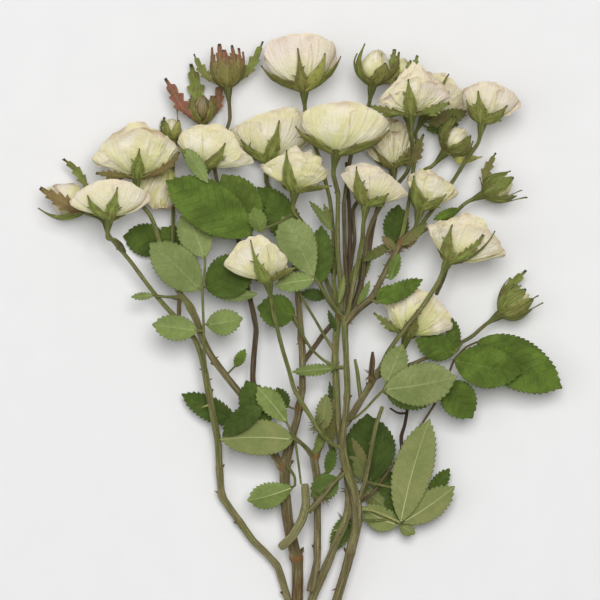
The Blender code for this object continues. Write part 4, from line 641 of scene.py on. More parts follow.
# Leaves: the stalk's points from the cane, then each blade's base, tip, width, height and face
LEAVES = {
    "leaf_01": Leaf([(-22, 38, 11.5), (-19.5, 44, 17), (-19.5, 53, 21), (-19.5, 56, 22)],
        [Blade((-19.5, 55), (-53.5, 76.5), 20, 24, "upper"),
        Blade((-18.5, 57.5), (-31, 79), 18, 21, "upper")]),
    "leaf_02": Leaf([(-37.8, -1, 12), (-38, 4, 17), (-38.5, 10, 20.8), (-38.5, 18, 22), (-38.8, 26, 22.5),
        (-39, 33, 22.5), (-38, 41, 21.5), (-38, 46, 20.5)], [Blade((-41, 16.5), (-59, 19), 10, 22, "under"),
        Blade((-37.5, 19), (-23, 21.5), 10, 22, "under"), Blade((-40, 33), (-60, 51.5), 16, 22.5, "under"),
        Blade((-37.5, 33.5), (-18, 44), 17, 20, "upper"),
        Blade((-38, 45.5), (-45.5, 65), 14, 20.5, "under")]),
    "leaf_03": Leaf([(-49.5, 34, 17.8), (-46.5, 40, 14), (-44.5, 44, 13), (-46, 47.5, 12), (-53, 51, 9.5)],
        [Blade((-45, 46), (-55.5, 58), 12, 12, "upper"),
        Blade((-53.5, 51.5), (-71, 54.5), 13, 9, "upper")]),
    "leaf_04": Leaf([(17, 21, 20), (14, 26, 22.5), (9, 33, 24.5), (6, 37.5, 25.5)],
        [Blade((5.5, 37.5), (-7, 62), 15, 26, "under"), Blade((5.5, 37), (-10, 34.5), 7.5, 26.5, "under"),
        Blade((8, 35.5), (8.5, 58.5), 10, 23, "upper")]),
    "leaf_05": Leaf([(13, 1.5, 14), (9, 5, 17), (4.5, 9, 18), (1, 15, 18.5), (-2, 22, 18.5)],
        [Blade((-2, 23), (-17, 26), 13, 18.5, "upper")]),
    "leaf_06": Leaf([(14.5, 8, 14.3), (10, 14, 17), (6, 21, 17.5), (0.5, 30, 16.5), (-1.5, 41, 16),
        (-2, 51, 16)], [Blade((-2, 51.5), (-12, 72), 13, 16, "upper"),
        Blade((-3, 58), (-17, 74), 12, 14, "upper")]),
    "leaf_07": Leaf([(5.5, -34.5, 11.5), (1.5, -29, 18), (-2, -27.5, 21), (-4, -23, 22)],
        [Blade((-3, -27), (-32, -27), 14, 21.5, "under"), Blade((-5, -20.5), (-17, -6), 9, 22, "under")]),
    "leaf_08": Leaf([(-14, -26, 13), (-13.5, -23, 17)],
        [Blade((-14, -22.5), (-21.5, -3.5), 13, 17.5, "upper")]),
    "leaf_09": Leaf([(-18, -20, 13.5), (-21.5, -21, 9), (-25, -20.5, 7)],
        [Blade((-25.5, -20.5), (-47.5, -9), 9.5, 7, "upper")]),
    "leaf_10": Leaf([(18.5, -19, 17), (22, -18.5, 20.5), (26, -15, 22), (30, -10.5, 23), (33, -7.5, 23.5)],
        [Blade((33.5, -7), (62.5, -2), 17, 24, "under"), Blade((34.5, -4.5), (41, 11), 10, 21.5, "under"),
        Blade((35, -9.5), (52.5, -12.5), 8, 22, "upper")]),
    "leaf_11": Leaf([(23, -53, 13), (29, -49, 10.5), (33.5, -43, 10), (41, -32, 9.5), (47, -24, 9.5),
        (54, -13, 10.5), (59, -3, 12.5), (61.5, 4.5, 14), (66.5, 10, 15), (71, 12, 15.5)],
        [Blade((71, 12), (105, -6.5), 20, 15, "upper"), Blade((62, 4.5), (88.5, -0.5), 17, 19, "upper"),
        Blade((58.5, -4), (69, -18.5), 14, 15, "upper")]),
    "leaf_12": Leaf([(65, 12, 9.8), (62.5, 8, 12.5)], [Blade((62, 7.5), (46.5, 13), 11, 12.5, "upper"),
        Blade((62, 8.5), (61, 21.5), 5.5, 12, "upper")]),
    "leaf_13": Leaf([(22.5, -49, 13.7), (26.5, -47, 8), (28.5, -44, 5.5)],
        [Blade((28.5, -44), (27, -17), 20, 5.5, "upper"), Blade((28.5, -46), (43, -44), 10, 4, "upper")]),
    "leaf_14": Leaf([(24.5, -55, 13), (29.5, -55.5, 12), (35, -58, 11), (40.5, -60.5, 11)],
        [Blade((40.5, -60), (52, -19), 15.5, 13, "under"), Blade((41, -60.5), (62, -46), 11, 11, "under"),
        Blade((39.5, -61.5), (25, -54.5), 10, 8.5, "under"),
        Blade((40, -61.5), (46, -65), 5, 9.5, "under")]),
    "leaf_15": Leaf([(28, 29, 20.5), (31, 27.5, 23)], [Blade((31, 28), (49, 37), 7, 23, "upper"),
        Blade((31, 28), (37.5, 34.5), 6, 22.5, "upper")]),
    "leaf_16": Leaf([(37.5, 47, 20), (37, 49.5, 16)], [Blade((37.6, 51), (39.5, 67), 10, 15.5, "upper")]),
    "leaf_17": Leaf([(65, 66, 11), (65, 66, 13.5), (64, 65.6, 14.5)],
        [Blade((63.7, 65.4), (53.5, 61), 3.5, 14.2, "upper")]),
    "leaf_18": Leaf([(20.2, -52, 8), (20, -56, 4.5)], [Blade((19.8, -57.5), (13, -72.5), 7, 3.5, "upper")]),
    "leaf_19": Leaf([(18, -38, 14.5), (15.5, -42, 13.4)],
        [Blade((15, -42.5), (4.5, -50), 10, 13.3, "upper")]),
    "leaf_20": Leaf([(8, -28, 12.5), (9, -24, 16)], [Blade((9, -23.5), (10.5, -9), 6.5, 16, "under")]),
    "leaf_21": Leaf([(18.5, 2, 19), (14, 1.5, 18.5)], [Blade((13.5, 1.5), (-3, 0), 4.5, 18.5, "under")]),
    "leaf_22": Leaf([(-47.5, 30, 18), (-53, 30, 16), (-58, 30.5, 15)],
        [Blade((-58.5, 30.7), (-67.5, 30), 2.8, 15, "under")]),
    "leaf_23": Leaf([(-3.5, -37, 13.5), (-2, -42, 16), (-2, -45.5, 16)],
        [Blade((-2.5, -46), (-21, -51.5), 10, 15, "under")]),
}

# Looks of single blades: where they are broadest, how much the pale under face shows, how dry they are,
# how far the rib bows aside and how pale it is. A dryness below nought is painted shade instead, which
# darkens blades that lie in shade behind or under others. Dark blades differ only in that number
PLAIN_LOOKS = {"upper": (LEAF_BROAD, 0, 0, 0, 0.15), "under": (LEAF_BROAD, 1, 0, 0, 0.45)}
DARK_BROAD = 0.9
DARK_RIB = 0.1
DARK_BLADES = {
    ("leaf_01", 1): 0.15, ("leaf_02", 3): -0.5, ("leaf_03", 0): -0.5, ("leaf_03", 1): -0.45,
    ("leaf_04", 2): -0.5, ("leaf_05", 0): -0.45, ("leaf_06", 0): -0.4, ("leaf_06", 1): -0.5,
    ("leaf_08", 0): -0.6, ("leaf_09", 0): -0.7, ("leaf_10", 2): -0.7, ("leaf_12", 0): -0.3,
    ("leaf_12", 1): -0.5, ("leaf_16", 0): -0.6,
}
BLADE_LOOKS = {
    ("leaf_01", 0): (0.95, 0, 0, 0.6, 0.1), ("leaf_02", 0): (0.95, 0.55, 0, 0, 0.35),
    ("leaf_02", 1): (0.95, 0.55, 0, 0.4, 0.35), ("leaf_02", 2): (0.92, 0.9, 0, 0.5, 0.35),
    ("leaf_02", 4): (1.1, 0.9, 0, 0, 0.6), ("leaf_04", 0): (1.35, 0.95, 0, 0.6, 0.35),
    ("leaf_04", 1): (0.95, 0.6, 0, 0.3, 0.7), ("leaf_07", 0): (0.85, 0.65, 0.45, 0.9, 1),
    ("leaf_07", 1): (1.3, 0.4, 0.1, 0.3, 0.7), ("leaf_10", 0): (1.05, 1, 0.1, 0.5, 0.7),
    ("leaf_10", 1): (0.9, 1, 0.1, 0, 0.6), ("leaf_13", 0): (0.95, 0, -0.8, 0.5, 0.1),
    ("leaf_13", 1): (0.9, 0.1, -0.6, 0, 0.2), ("leaf_14", 0): (1, 0.8, 0.4, -1, 1),
    ("leaf_14", 1): (1, 0.65, 0.5, 0.6, 1), ("leaf_14", 2): (0.9, 0.7, 0.3, -0.8, 1),
    ("leaf_14", 3): (1, 0.6, 0.4, 0, 0.4), ("leaf_18", 0): (0.9, 0.1, -0.3, 0, 0.3),
    ("leaf_19", 0): (0.9, 0.2, -0.4, 0, 0.3), ("leaf_20", 0): (0.9, 0.45, 0.7, 0, 0.3),
    ("leaf_21", 0): (0.9, 0.5, 0.1, 0, 0.4), ("leaf_22", 0): (1, 0.6, 0.1, 0, 0.3),
    ("leaf_23", 0): (1.25, 0.42, 0.05, -0.6, 0.9),
}

# Tone of leaf stalks that differ from the rest
LEAF_BARKS = {
    "leaf_02": (0, 0, 0), "leaf_14": (-0.7, 0, 0), "leaf_11": (0.8, 0.5, 0), "leaf_09": (0.6, 0.3, 0),
}

# Leaf stalks that carry nothing, or that run on: points with radius, and tone
PETIOLES = {
    "leaf_07": [([(5.5, -34.5, 11.5, 1.2), (3, -31, 15, 1), (0, -28, 19, 0.8), (-2.5, -25.5, 21, 0.6)],
        (0.1, 0.2, 0))],
    "leaf_23": [([(-2.2, -25.5, 20, 0.5), (-1, -34, 18.5, 0.48), (0.2, -43, 17.2, 0.45),
        (0.4, -45, 16.6, 0.4)], (-0.3, 0, 0))],
    "leaf_11": [([(41, -32, 9.5, 0.7), (40.5, -26, 10, 0.8), (42, -21.5, 11.5, 0.7),
        (43.2, -14.5, 14.5, 0.6), (42.5, -11, 18, 0.5)], (0.6, 1, 0)), ([(42.8, -16.5, 13.5, 0.5),
        (39.5, -16.8, 14, 0.45), (36, -14.5, 15.5, 0.35)], (0.6, 1, 0))],
}

# Bracts and small leaves that the solids leave out, each with its look. A dryness below nought paints them
# dark as shade, where they lie in shade among the stalks
BRACTS = [
    (Blade((-36.8, 75.6), (-45.6, 89.2), 6, 27.5, "under"), (1.1, 0.6, 0, 0, 0.3)),
    (Blade((-15.2, -14), (-31, -25.4), 8.6, 23.4, "upper"), (0.9, 0, -0.7, 0.8, 0.1)),
    (Blade((-5.2, -14.4), (-9.2, -6.4), 5.5, 15, "upper"), (0.9, 0, -0.9, 0, 0.1)),
    (Blade((41.6, -59.6), (34.6, -49.6), 6.5, 7.5, "upper"), (0.9, 0, -0.6, 0, 0.1)),
    (Blade((26.4, -44), (18.8, -25.6), 8, 6.5, "upper"), (0.9, 0.35, 0.9, 0, 0.2)),
    (Blade((25.6, -47.2), (34.4, -54.4), 6, 4.5, "under"), (0.9, 0.5, 0.6, 0, 0.5)),
    (Blade((52, -50), (60, -39), 6, 7, "upper"), (0.9, 0, -0.5, 0, 0.1)),
    (Blade((36, 36.8), (39.6, 47.6), 4.2, 22.6, "under"), (0.9, 0.2, -0.1, 0, 0.3)),
    (Blade((41.6, 49.6), (47.2, 57.2), 4.6, 19, "upper"), (0.9, 0.5, 1.6, 0, 0.2)),
    (Blade((38.4, 48.8), (32.8, 54.2), 3.4, 20, "upper"), (0.9, 0.3, 1.6, 0, 0.2)),
    (Blade((-15.2, 55.6), (-18.6, 65.6), 7, 25.6, "under"), (1.1, 0.3, 0.1, 0, 0.2)),
    (Blade((-17.2, 31.2), (-36.8, 32.4), 4.6, 18.4, "under"), (0.9, 0.7, 0, -1, 0.3)),
    (Blade((-26, 2), (-22, 9), 4, 12.5, "upper"), (0.9, 0, 0.1, 0, 0.1)),
    (Blade((13.1, 56.4), (3.8, 68.3), 3, 16.6, "upper"), (0.9, 0.35, 0.3, 0.3, 0.3)),
    (Blade((51.6, 99.6), (67, 104.6), 6.4, 9.4, "upper"), (0.9, 0.1, 0.9, 0.3, 0.1)),
    (Blade((12, -31), (12.4, -12), 3.6, 13.6, "upper"), (0.9, 0, 0.9, 0.2, 0)),
    (Blade((11, -41), (13.6, -29.5), 4.4, 12.4, "upper"), (0.9, 0.1, -0.5, 0, 0)),
    (Blade((14.6, -24), (11.8, -4), 3.2, 11.6, "upper"), (0.9, 0, -0.9, 0.2, 0)),
    (Blade((6.2, -33), (10.4, -21), 3.4, 13.6, "upper"), (0.9, 0.2, 0.4, 0, 0.1)),
    (Blade((51, 97.4), (63.6, 99.2), 5.2, 8.4, "upper"), (0.9, 0, -0.8, 0, 0.1)),
    (Blade((12.5, 58.3), (9.6, 67.2), 2.2, 16.4, "upper"), (0.9, 0.2, 0.6, 0, 0.1)),
    (Blade((8.6, 35.6), (9.6, 45.2), 3.2, 19.6, "under"), (1.1, 0.9, 0, 0.2, 0.3)),
    (Blade((15.6, 27.6), (17.6, 38.8), 2.3, 20.6, "under"), (0.9, 0.4, 0.4, 0.2, 0.2)),
    (Blade((23, 27), (27.8, 36.4), 2.6, 21.8, "upper"), (0.9, 0.3, 0.1, 0.3, 0.2)),
    (Blade((10.6, 30.2), (0.4, 31.6), 4.8, 16.2, "upper"), (0.9, 0, -0.9, 0, 0.1)),
    (Blade((37.2, 51.2), (25.2, 44.2), 3.8, 18.2, "upper"), (0.9, 0.1, 0.8, 0.3, 0.1)),
    (Blade((27.4, 50), (24.2, 35.6), 4.2, 12.2, "upper"), (0.9, 0.1, 0.5, 0, 0.1)),
    (Blade((40.8, 50.6), (50.6, 59.6), 3.6, 21.4, "upper"), (0.9, 0.2, 0.8, 0.3, 0.1)),
    (Blade((1.2, 15.6), (-4.6, 24.8), 1.9, 14.6, "under"), (0.9, 0.6, 0.6, 0, 0)),
    (Blade((14.2, 16.4), (11.4, 24.6), 2.3, 16.8, "upper"), (0.9, 0, -0.9, 0, 0)),
    (Blade((20.6, 33.4), (22.6, 43.6), 2.8, 17.2, "upper"), (0.9, 0.2, 0.5, 0, 0.1)),
    (Blade((14, 37.6), (11.6, 50.4), 3.4, 13.4, "upper"), (0.9, 0, -0.8, 0.3, 0.1)),
]

# --- Sums -----------------------------------------------------------------------------------------

def unit(vectors):
    length = np.linalg.norm(vectors, axis=-1, keepdims=True)
    return vectors / np.maximum(length, 1e-9)


def ease(value, low, high):
    """Smooth step from 0 at low to 1 at high."""
    share = np.clip((value - low) / (high - low), 0.0, 1.0)
    return share * share * (3.0 - 2.0 * share)


def bands(*values):
    """The values side by side for every point that they broadcast to."""
    return np.stack(np.broadcast_arrays(*values), axis=-1)


def run_length(points):
    """Distance along rows of points, from the first."""
    return np.concatenate([[0.0], np.cumsum(np.linalg.norm(np.diff(points[:, :3], axis=0), axis=1))])


def heading(angle, rise):
    """A direction from its bearing in plan and its rise."""
    return np.array((math.cos(angle), math.sin(angle), rise))


def soft_noise(x, y, seed):
    """Smooth noise from -1 to 1 over two coordinates."""
    x, y = np.broadcast_arrays(np.asarray(x, float), np.asarray(y, float))
    lattice = np.random.default_rng(seed).uniform(-1.0, 1.0, (LATTICE, LATTICE))
    left = np.floor(x).astype(int)
    low = np.floor(y).astype(int)
    right = ease(x - left, 0.0, 1.0)
    high = ease(y - low, 0.0, 1.0)

    def corner(across, along):
        return lattice[(left + across) % LATTICE, (low + along) % LATTICE]

    near = corner(0, 0) * (1.0 - right) + corner(1, 0) * right
    far = corner(0, 1) * (1.0 - right) + corner(1, 1) * right
    return near * (1.0 - high) + far * high


def wave(across, along, form, seed):
    """Noise over a sheet, stretched and placed by the form of the wave."""
    return soft_noise(across * form.across + form.start, along * form.along + form.first, seed + form.seed)


def grid_normals(grid):
    return unit(np.cross(np.gradient(grid, axis=0), np.gradient(grid, axis=1)))


# --- Meshes ---------------------------------------------------------------------------------------

class Skin:
    """Points, faces and painting notes of one piece."""

    def __init__(self):
        self.points = []
        self.faces = []
        self.notes = {"grain": [], "tone": [], "tint": []}
        self.slots = []
        self.count = 0

    def add(self, points, faces, slot, notes):
        self.points.append(points)
        self.faces += [tuple(int(index) + self.count for index in face) for face in faces]
        self.slots += [slot] * len(faces)
        for key, rows in self.notes.items():
            rows.append(np.broadcast_to(notes.get(key, NOTHING), points.shape))
        self.count += len(points)

    def sheet(self, grid, thickness, back=None, **notes):
        """Thin closed sheet over a grid of points. Its front looks along rows x columns."""
        rows, columns = grid.shape[:2]
        layer = rows * columns
        push = grid_normals(grid) * np.broadcast_to(thickness, (rows, columns))[..., None] / 2.0
        index = np.arange(layer).reshape(rows, columns)
        corners = [index[:-1, :-1], index[1:, :-1], index[1:, 1:], index[:-1, 1:]]
        quads = np.stack(corners, axis=-1).reshape(-1, 4)
        ring = np.concatenate([index[0, :-1], index[:-1, -1], index[-1, :0:-1], index[:0:-1, 0]])
        after = np.roll(ring, -1)
        sides = np.stack([ring, after, after + layer, ring + layer], axis=-1)
        faces = np.concatenate([quads, quads[:, ::-1] + layer, sides])
        full = {}
        for key, front in notes.items():
            behind = (back or {}).get(key, front)
            full[key] = np.concatenate([np.broadcast_to(value, grid.shape).reshape(-1, 3)
                                        for value in (front, behind)])
        points = np.concatenate([(grid + push).reshape(-1, 3), (grid - push).reshape(-1, 3)])
        self.add(points, faces, 0, full)

    def tube(self, route, sides, slot=0, ridges=0.0, seed=0, bare=False, tone=NOTHING, tint=NOTHING):
        """Closed tube along rows of x, y, z and radius. The ends of a bare one are cut flat and pale."""
        centres = route[:, :3]
        count = len(centres)
        ahead = unit(np.gradient(centres, axis=0))
        across = np.zeros_like(centres)
        level = np.cross(ahead[0], UP)
        turn = level if np.linalg.norm(level) > UPRIGHT else np.array((1.0, 0.0, 0.0))
        for place in range(count):
            turn = unit(turn - ahead[place] * turn.dot(ahead[place]))
            across[place] = turn
        lift = np.cross(across, ahead)
        along = run_length(centres)[:, None]
        angle = math.tau * np.arange(sides)[None, :] / sides
        rough = 1.0 + ridges * wave(np.cos(angle), along, RIDGE, seed)
        rough += FURROW_SHARE * ridges * wave(np.sin(angle), along, FURROW, seed)
        ring = across[:, None] * np.cos(angle)[..., None] + lift[:, None] * np.sin(angle)[..., None]
        points = (centres[:, None] + ring * (route[:, 3:] * rough)[..., None]).reshape(-1, 3)
        grain = bands(np.cos(angle) * route[:, 3:], along, seed % SHADES / SHADES).reshape(-1, 3)
        tone, tint = (np.repeat(np.broadcast_to(note, (count, 3)), sides, axis=0) for note in (tone, tint))
        index = np.arange(count * sides).reshape(count, sides)
        turned = np.roll(index, -1, axis=1)
        quads = np.stack([index[:-1], index[1:], turned[1:], turned[:-1]], axis=-1).reshape(-1, 4)
        faces = [tuple(face) for face in quads]
        for end, order in ((0, 1), (count - 1, -1)):
            base = len(points)
            push = NOTHING if bare else ahead[end] * (CAP_PUSH if end else -CAP_PUSH) * route[end, 3]
            shrunk = centres[end] + (points[index[end]] - centres[end]) * CAP_SHARE + push * CAP_STEP
            points = np.concatenate([points, shrunk, [centres[end] + push]])
            cut = tone[index[end]]
            if bare:
                cut[:, 2] = CUT_WOOD
            tone = np.concatenate([tone, cut, cut[:1]])
            tint, grain = (np.concatenate([note, note[index[end]], note[index[end, :1]]])
                           for note in (tint, grain))
            for corner in range(sides):
                after = (corner + 1) % sides
                outer = (index[end, corner], index[end, after], base + after, base + corner)
                inner = (base + corner, base + after, base + sides)
                faces += [outer[::order], inner[::order]]
        self.add(points, faces, slot, {"grain": grain, "tone": tone, "tint": tint})

    def piece(self, name, materials, slot, nodes):
        """The finished object, riding on the body in place of its nodes."""
        points = np.concatenate(self.points)
        points[:, 2] = np.maximum(points[:, 2], TABLE_GAP)
        mesh = bpy.data.meshes.new(name)
        mesh.from_pydata(((points - MIDDLE) * MM).tolist(), [], self.faces)
        for key, rows in self.notes.items():
            layer = mesh.attributes.new(key, "FLOAT_VECTOR", "POINT")
            layer.data.foreach_set("vector", np.concatenate(rows).astype(np.float32).ravel())
        for material in materials:
            mesh.materials.append(material)
        mesh.polygons.foreach_set("material_index", self.slots)
        mesh.polygons.foreach_set("use_smooth", [True] * len(self.faces))
        mesh.set_sharp_from_angle(angle=SHARP_EDGE)
        mesh.validate()
        item = bpy.data.objects.new(name, mesh)
        bpy.context.scene.collection.objects.link(item)
        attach(item, "root")
        if nodes:
            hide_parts(*nodes)


# --- Routes and bowls -----------------------------------------------------------------------------

def smooth_route(table, step=ROUTE_STEP, passes=5):
    """Rows of x, y, z and radius at even steps, with the bends rounded."""
    rows = np.array(table, float)
    at = run_length(rows)
    count = max(FEWEST_STEPS, int(at[-1] / step))
    where = np.linspace(0.0, at[-1], count + 1)
    fine = np.column_stack([np.interp(where, at, rows[:, column]) for column in range(4)])
    for _ in range(passes):
        fine[1:-1] = (fine[:-2] + 2.0 * fine[1:-1] + fine[2:]) / 4.0
    return fine


def flower_route(name, cup):
    """The stalk of a flower, up into a hip that swells below the petals."""
    thin = STALKS[name][-1][3]
    route = smooth_route(STALKS[name] + [(*(cup.base - cup.axis * below), thin) for below in HIP_STATIONS])
    along = run_length(route)
    below = along[-1] - along - HIP_END
    depths, swells = zip(*HIP_SHAPE)
    swollen = (route[:, 3] + np.interp(below, depths, swells)) * SWOLLEN.get(name, 1.0)
    route[:, 3] = np.where(below < HIP_LENGTH, swollen, route[:, 3])
    return route


class Cup:
    """The bowl that a bloom's petals lie on, flattened in depth as the bloom dried."""

    def __init__(self, base, right, top, left, depth, closing):
        self.base = np.array(base, float)
        self.height = math.hypot(*top)
        self.axis = np.array((top[0], top[1], 0.0)) / self.height
        self.across = np.array((self.axis[1], -self.axis[0], 0.0))
        self.depth = depth
        self.closing = closing
        right = np.array((right[0], right[1], 0.0))
        left = np.array((left[0], left[1], 0.0))
        self.right = (right.dot(self.across), right.dot(self.axis))
        self.left = (-left.dot(self.across), left.dot(self.axis))

    def point(self, t, azimuth, proud=0.0):
        """The surface at t from base to rim, with a distance to stand proud sideways."""
        t, azimuth, proud = np.broadcast_arrays(np.asarray(t, float), azimuth, proud)
        side = np.cos(azimuth)
        front = np.sin(azimuth)
        reach = (self.right[0] + self.left[0]) / 2.0 + (self.right[0] - self.left[0]) / 2.0 * side
        rim = (self.right[1] + self.left[1]) / 2.0 + (self.right[1] - self.left[1]) / 2.0 * side
        high = rim + (self.height - rim) * np.abs(front) ** RIM_FULLNESS
        swing = self.across * (reach * side)[..., None] + UP * (self.depth * front)[..., None]
        out = np.sin(self.closing * math.pi * t)
        place = self.base + self.axis * (high * t ** CLIMB)[..., None] + swing * out[..., None]
        return place + unit(swing) * proud[..., None]

    def around(self, t, azimuth):
        """The step from one side of an azimuth to the other."""
        return self.point(t, azimuth + T_STEP) - self.point(t, azimuth - T_STEP)

    def normal(self, t, azimuth):
        t = np.maximum(t, LOWEST_T)
        along = self.point(t + T_STEP, azimuth) - self.point(t - T_STEP, azimuth)
        return unit(np.cross(along, self.around(t, azimuth)))


def bloom_cup(bloom):
    return Cup(bloom.base, bloom.right, bloom.top, bloom.left, bloom.depth, OPEN)


def bud_cup(bud):
    reach = np.array(bud.reach, float)
    side = np.array((reach[1], -reach[0])) / math.hypot(*reach) * bud.radius
    shoulder = reach * BUD_SHOULDER
    return Cup(bud.base, shoulder + side, reach, shoulder - side, bud.radius, SHUT)


def bearings(points):
    """Directions in plan, with their jump kept away from the rim."""
    turned = np.arctan2(points[:, 1], points[:, 0]) % math.tau
    return np.where(turned > BEARING_JUMP, turned - math.tau, turned)


def rim_reach(name, cup):
    """How far the outline stands out of the bowl's rim, for azimuths from 0 to half a turn."""
    azimuth = np.linspace(0.0, math.pi, RIM_STEPS)
    if name not in RIMS:
        return azimuth, np.ones(RIM_STEPS)
    corners = np.array(RIMS[name])
    line = np.concatenate(corners[:-1] + (corners[1:] - corners[:-1]) * RIM_SHARES[:, None, None])
    bearing = bearings(line)
    order = np.argsort(bearing)
    rim = cup.point(1.0, azimuth) - cup.base
    far = np.interp(bearings(rim), bearing[order], np.hypot(line[order, 0], line[order, 1]))
    return azimuth, np.clip(far / np.hypot(rim[:, 0], rim[:, 1]), *REACH_LIMITS)


CUPS = {name: bloom_cup(bloom) for name, bloom in BLOOMS.items()}
CUPS.update({name: bud_cup(bud) for name, bud in BUDS.items()})
REACHES = {name: rim_reach(name, cup) for name, cup in CUPS.items()}


# --- Petals ---------------------------------------------------------------------------------------

def petal(skin, name, shape, draw):
    """One petal on the bowl, pleated from its base and crumpled towards its rim."""
    cup = CUPS[name]
    crumple, pink, green, brown = LOOKS[name][:4]
    seed = draw.randrange(1 << 30)
    s = np.linspace(PETAL_FOOT, 1.0, shape.rows + 1)[:, None]
    u = np.linspace(-1.0, 1.0, shape.columns + 1)[None, :]
    form = {key: wave(u, s, kind, seed) for key, kind in PETAL_WAVES.items()}
    depth = {key: kind.flat + kind.crumpled * crumple for key, kind in PETAL_WAVES.items()}
    rim = shape.tall * (1.0 - shape.drop * np.abs(u) ** 4)
    rim = rim * (1.0 + depth["rim"] * form["rim"] + depth["frill"] * form["frill"])
    t = rim * s
    azimuth = shape.centre + shape.spread * u * (FOOT_SPREAD + (1.0 - FOOT_SPREAD) * s)
    azimuth = azimuth + depth["swerve"] * form["swerve"] * s
    arm = cup.point(t, azimuth, PETAL_OVERLAP * u * np.minimum(1.0, 2.0 * t)) - cup.base
    folded = np.arccos(np.clip(np.cos(azimuth), -1.0, 1.0))
    grown = 1.0 + (np.interp(folded, *REACHES[name]) - 1.0) * s ** 1.5
    arm = arm * bands(grown, grown, 1.0)
    high = (arm @ cup.axis)[..., None] * cup.axis
    place = cup.base + high * shape.along + (arm - high) * shape.across
    form["crease"] = np.maximum(0.0, 1.0 - CREASE_SHARPNESS * np.abs(form["crease"])) ** 1.3
    form["wrinkle"] = np.maximum(0.0, 1.0 - WRINKLE_SHARPNESS * np.abs(form["wrinkle"]))
    lift = sum(depth[key] * form[key] * s ** PETAL_WAVES[key].grows for key in PETAL_RELIEF)
    lift = lift + shape.curl * ease(s, CURL_START, 1.0) ** 1.5 * (0.6 + 0.4 * form["curl"])
    lift = lift + SIDE_CURL * shape.curl * np.abs(u) ** 5 * s
    place = place + grid_normals(place) * lift[..., None]
    grain = bands(u, s, draw.uniform(0.0, 1.0))
    tint = [amount * draw.uniform(*shares) for amount, shares in zip((pink, green, brown), TINT_SHARES)]
    # The third tone note marks creases and wrinkles, where petal_finish paints shade
    tone = bands(azimuth * FIBRE_SPREAD, t, form["crease"] + 0.5 * form["wrinkle"])
    thickness = PETAL_THICKNESS - PETAL_THINNING * np.maximum(np.abs(u) ** 4, s ** 4)
    skin.sheet(place, thickness, grain=grain, tone=tone, tint=tint)


def whorls(skin, name, start, draw, table, drop):
    """Rings of petals that overlap, from the outside in."""
    for whorl in table:
        for number in range(whorl.count):
            centre = start + math.tau * (number + whorl.turned) / whorl.count
            tall = draw.uniform(*whorl.tall)
            petal(skin, name, Petal(centre, math.radians(whorl.spread), tall, whorl.across, whorl.along,
                                    draw.uniform(*whorl.curl), whorl.rows, whorl.columns, drop), draw)


def bloom_petals(name):
    draw = random.Random("petals of " + name)
    facing, ruffle, count = LOOKS[name][4:]
    start = math.pi / 2.0 + facing * math.tau / count
    skin = Skin()
    for turned, across, stepped, curl in OUTER_WHORLS:
        for number in range(count):
            centre = start + math.tau * (number + turned) / count + draw.uniform(*OUTER_SHIFTS)
            tall = draw.uniform(*OUTER_HEIGHTS) * (1.0 - stepped * ruffle * draw.uniform(*OUTER_STEPS))
            petal(skin, name, Petal(centre, OUTER_SPREAD / count, tall, across, 1.0, draw.uniform(*curl),
                                    OUTER_CELLS, OUTER_CELLS, BLOOM_DROP), draw)
    whorls(skin, name, start, draw, HEART_WHORLS, BLOOM_DROP)
    skin.piece(name + "_petals", [PETAL_FINISH], "petals", [name])


def bud_petals(name):
    draw = random.Random("petals of " + name)
    skin = Skin()
    whorls(skin, name, draw.uniform(0.0, math.pi), draw, BUD_WHORLS, BUD_DROP)
    skin.piece(name + "_petals", [PETAL_FINISH], "bud_petals", [name])


# --- Sepals ---------------------------------------------------------------------------------------

def sepal_aim(cup, tip):
    """Azimuth, height and remaining miss of the place on the bowl nearest to a tip in plan."""
    goal = cup.base + np.array((tip[0], tip[1], 0.0))
    best = None
    for reach in TIP_HEIGHTS:
        for azimuth in TIP_AZIMUTHS:
            miss = goal - cup.point(reach, azimuth)
            miss[2] = 0.0
            size = np.linalg.norm(miss)
            if best is None or size < best[0]:
                best = (size, azimuth, reach, miss)
    return best[1:]


def saw(share, teeth):
    """Forward-pointing teeth, from 0 in a notch to 1 at a tip."""
    phase = (share * teeth) % 1.0
    return np.where(phase < SAW_PEAK, phase / SAW_PEAK, (1.0 - phase) / (1.0 - SAW_PEAK))


def laid_flat(grid, s, c, side):
    """A sepal that turns level above its foot, so that it lies flat beside the bowl."""
    spine = grid[:, len(c) // 2]
    ahead = unit(np.gradient(spine, axis=0))[:, None]
    level = unit(np.cross(UP, ahead)) * side
    out = grid - spine[:, None]
    along = (out * ahead).sum(axis=-1)[..., None] * ahead
    aside = np.linalg.norm(out - along, axis=-1) * np.sign(c)
    flat = spine[:, None] + along + aside[..., None] * level
    return grid + (flat - grid) * (LAID * ease(s, 0.2, 0.5))[:, None, None]


def side_lobe(skin, grid, normal, s_cells, tint, shade, draw):
    """A narrow lobe that stands out of the side of a sepal."""
    edge = grid.shape[1] - 1
    middle = edge // 2
    place = draw.randrange(int(s_cells * 0.3), int(s_cells * 0.75))
    side = draw.choice((0, edge))
    root = grid[place, side] * 0.8 + grid[place, middle] * 0.2
    ahead = unit(grid[place + 1, middle] - grid[place, middle])
    aside = unit(grid[place, side] - grid[place, middle])
    aim = unit(ahead * draw.uniform(0.7, 1.3) + aside)
    length = draw.uniform(*LOBE_LENGTHS)
    out = normal[place, middle]
    flank = unit(np.cross(aim, out))
    p = np.linspace(0.0, 1.0, 6)[:, None]
    line = root + aim * (length * p) + out * (0.1 + 0.6 * p ** 2)
    half = LOBE_HALF * (1.0 - p) ** 0.7 + THINNEST
    lobe = line[:, None] - flank * (half * np.array((1.0, 0.0, -1.0)))[..., None]
    skin.sheet(lobe, LOBE_THICKNESS, tint=tint,
               grain=bands(np.array((-0.5, 0.0, 0.5)), 0.5 + 0.5 * p, shade))


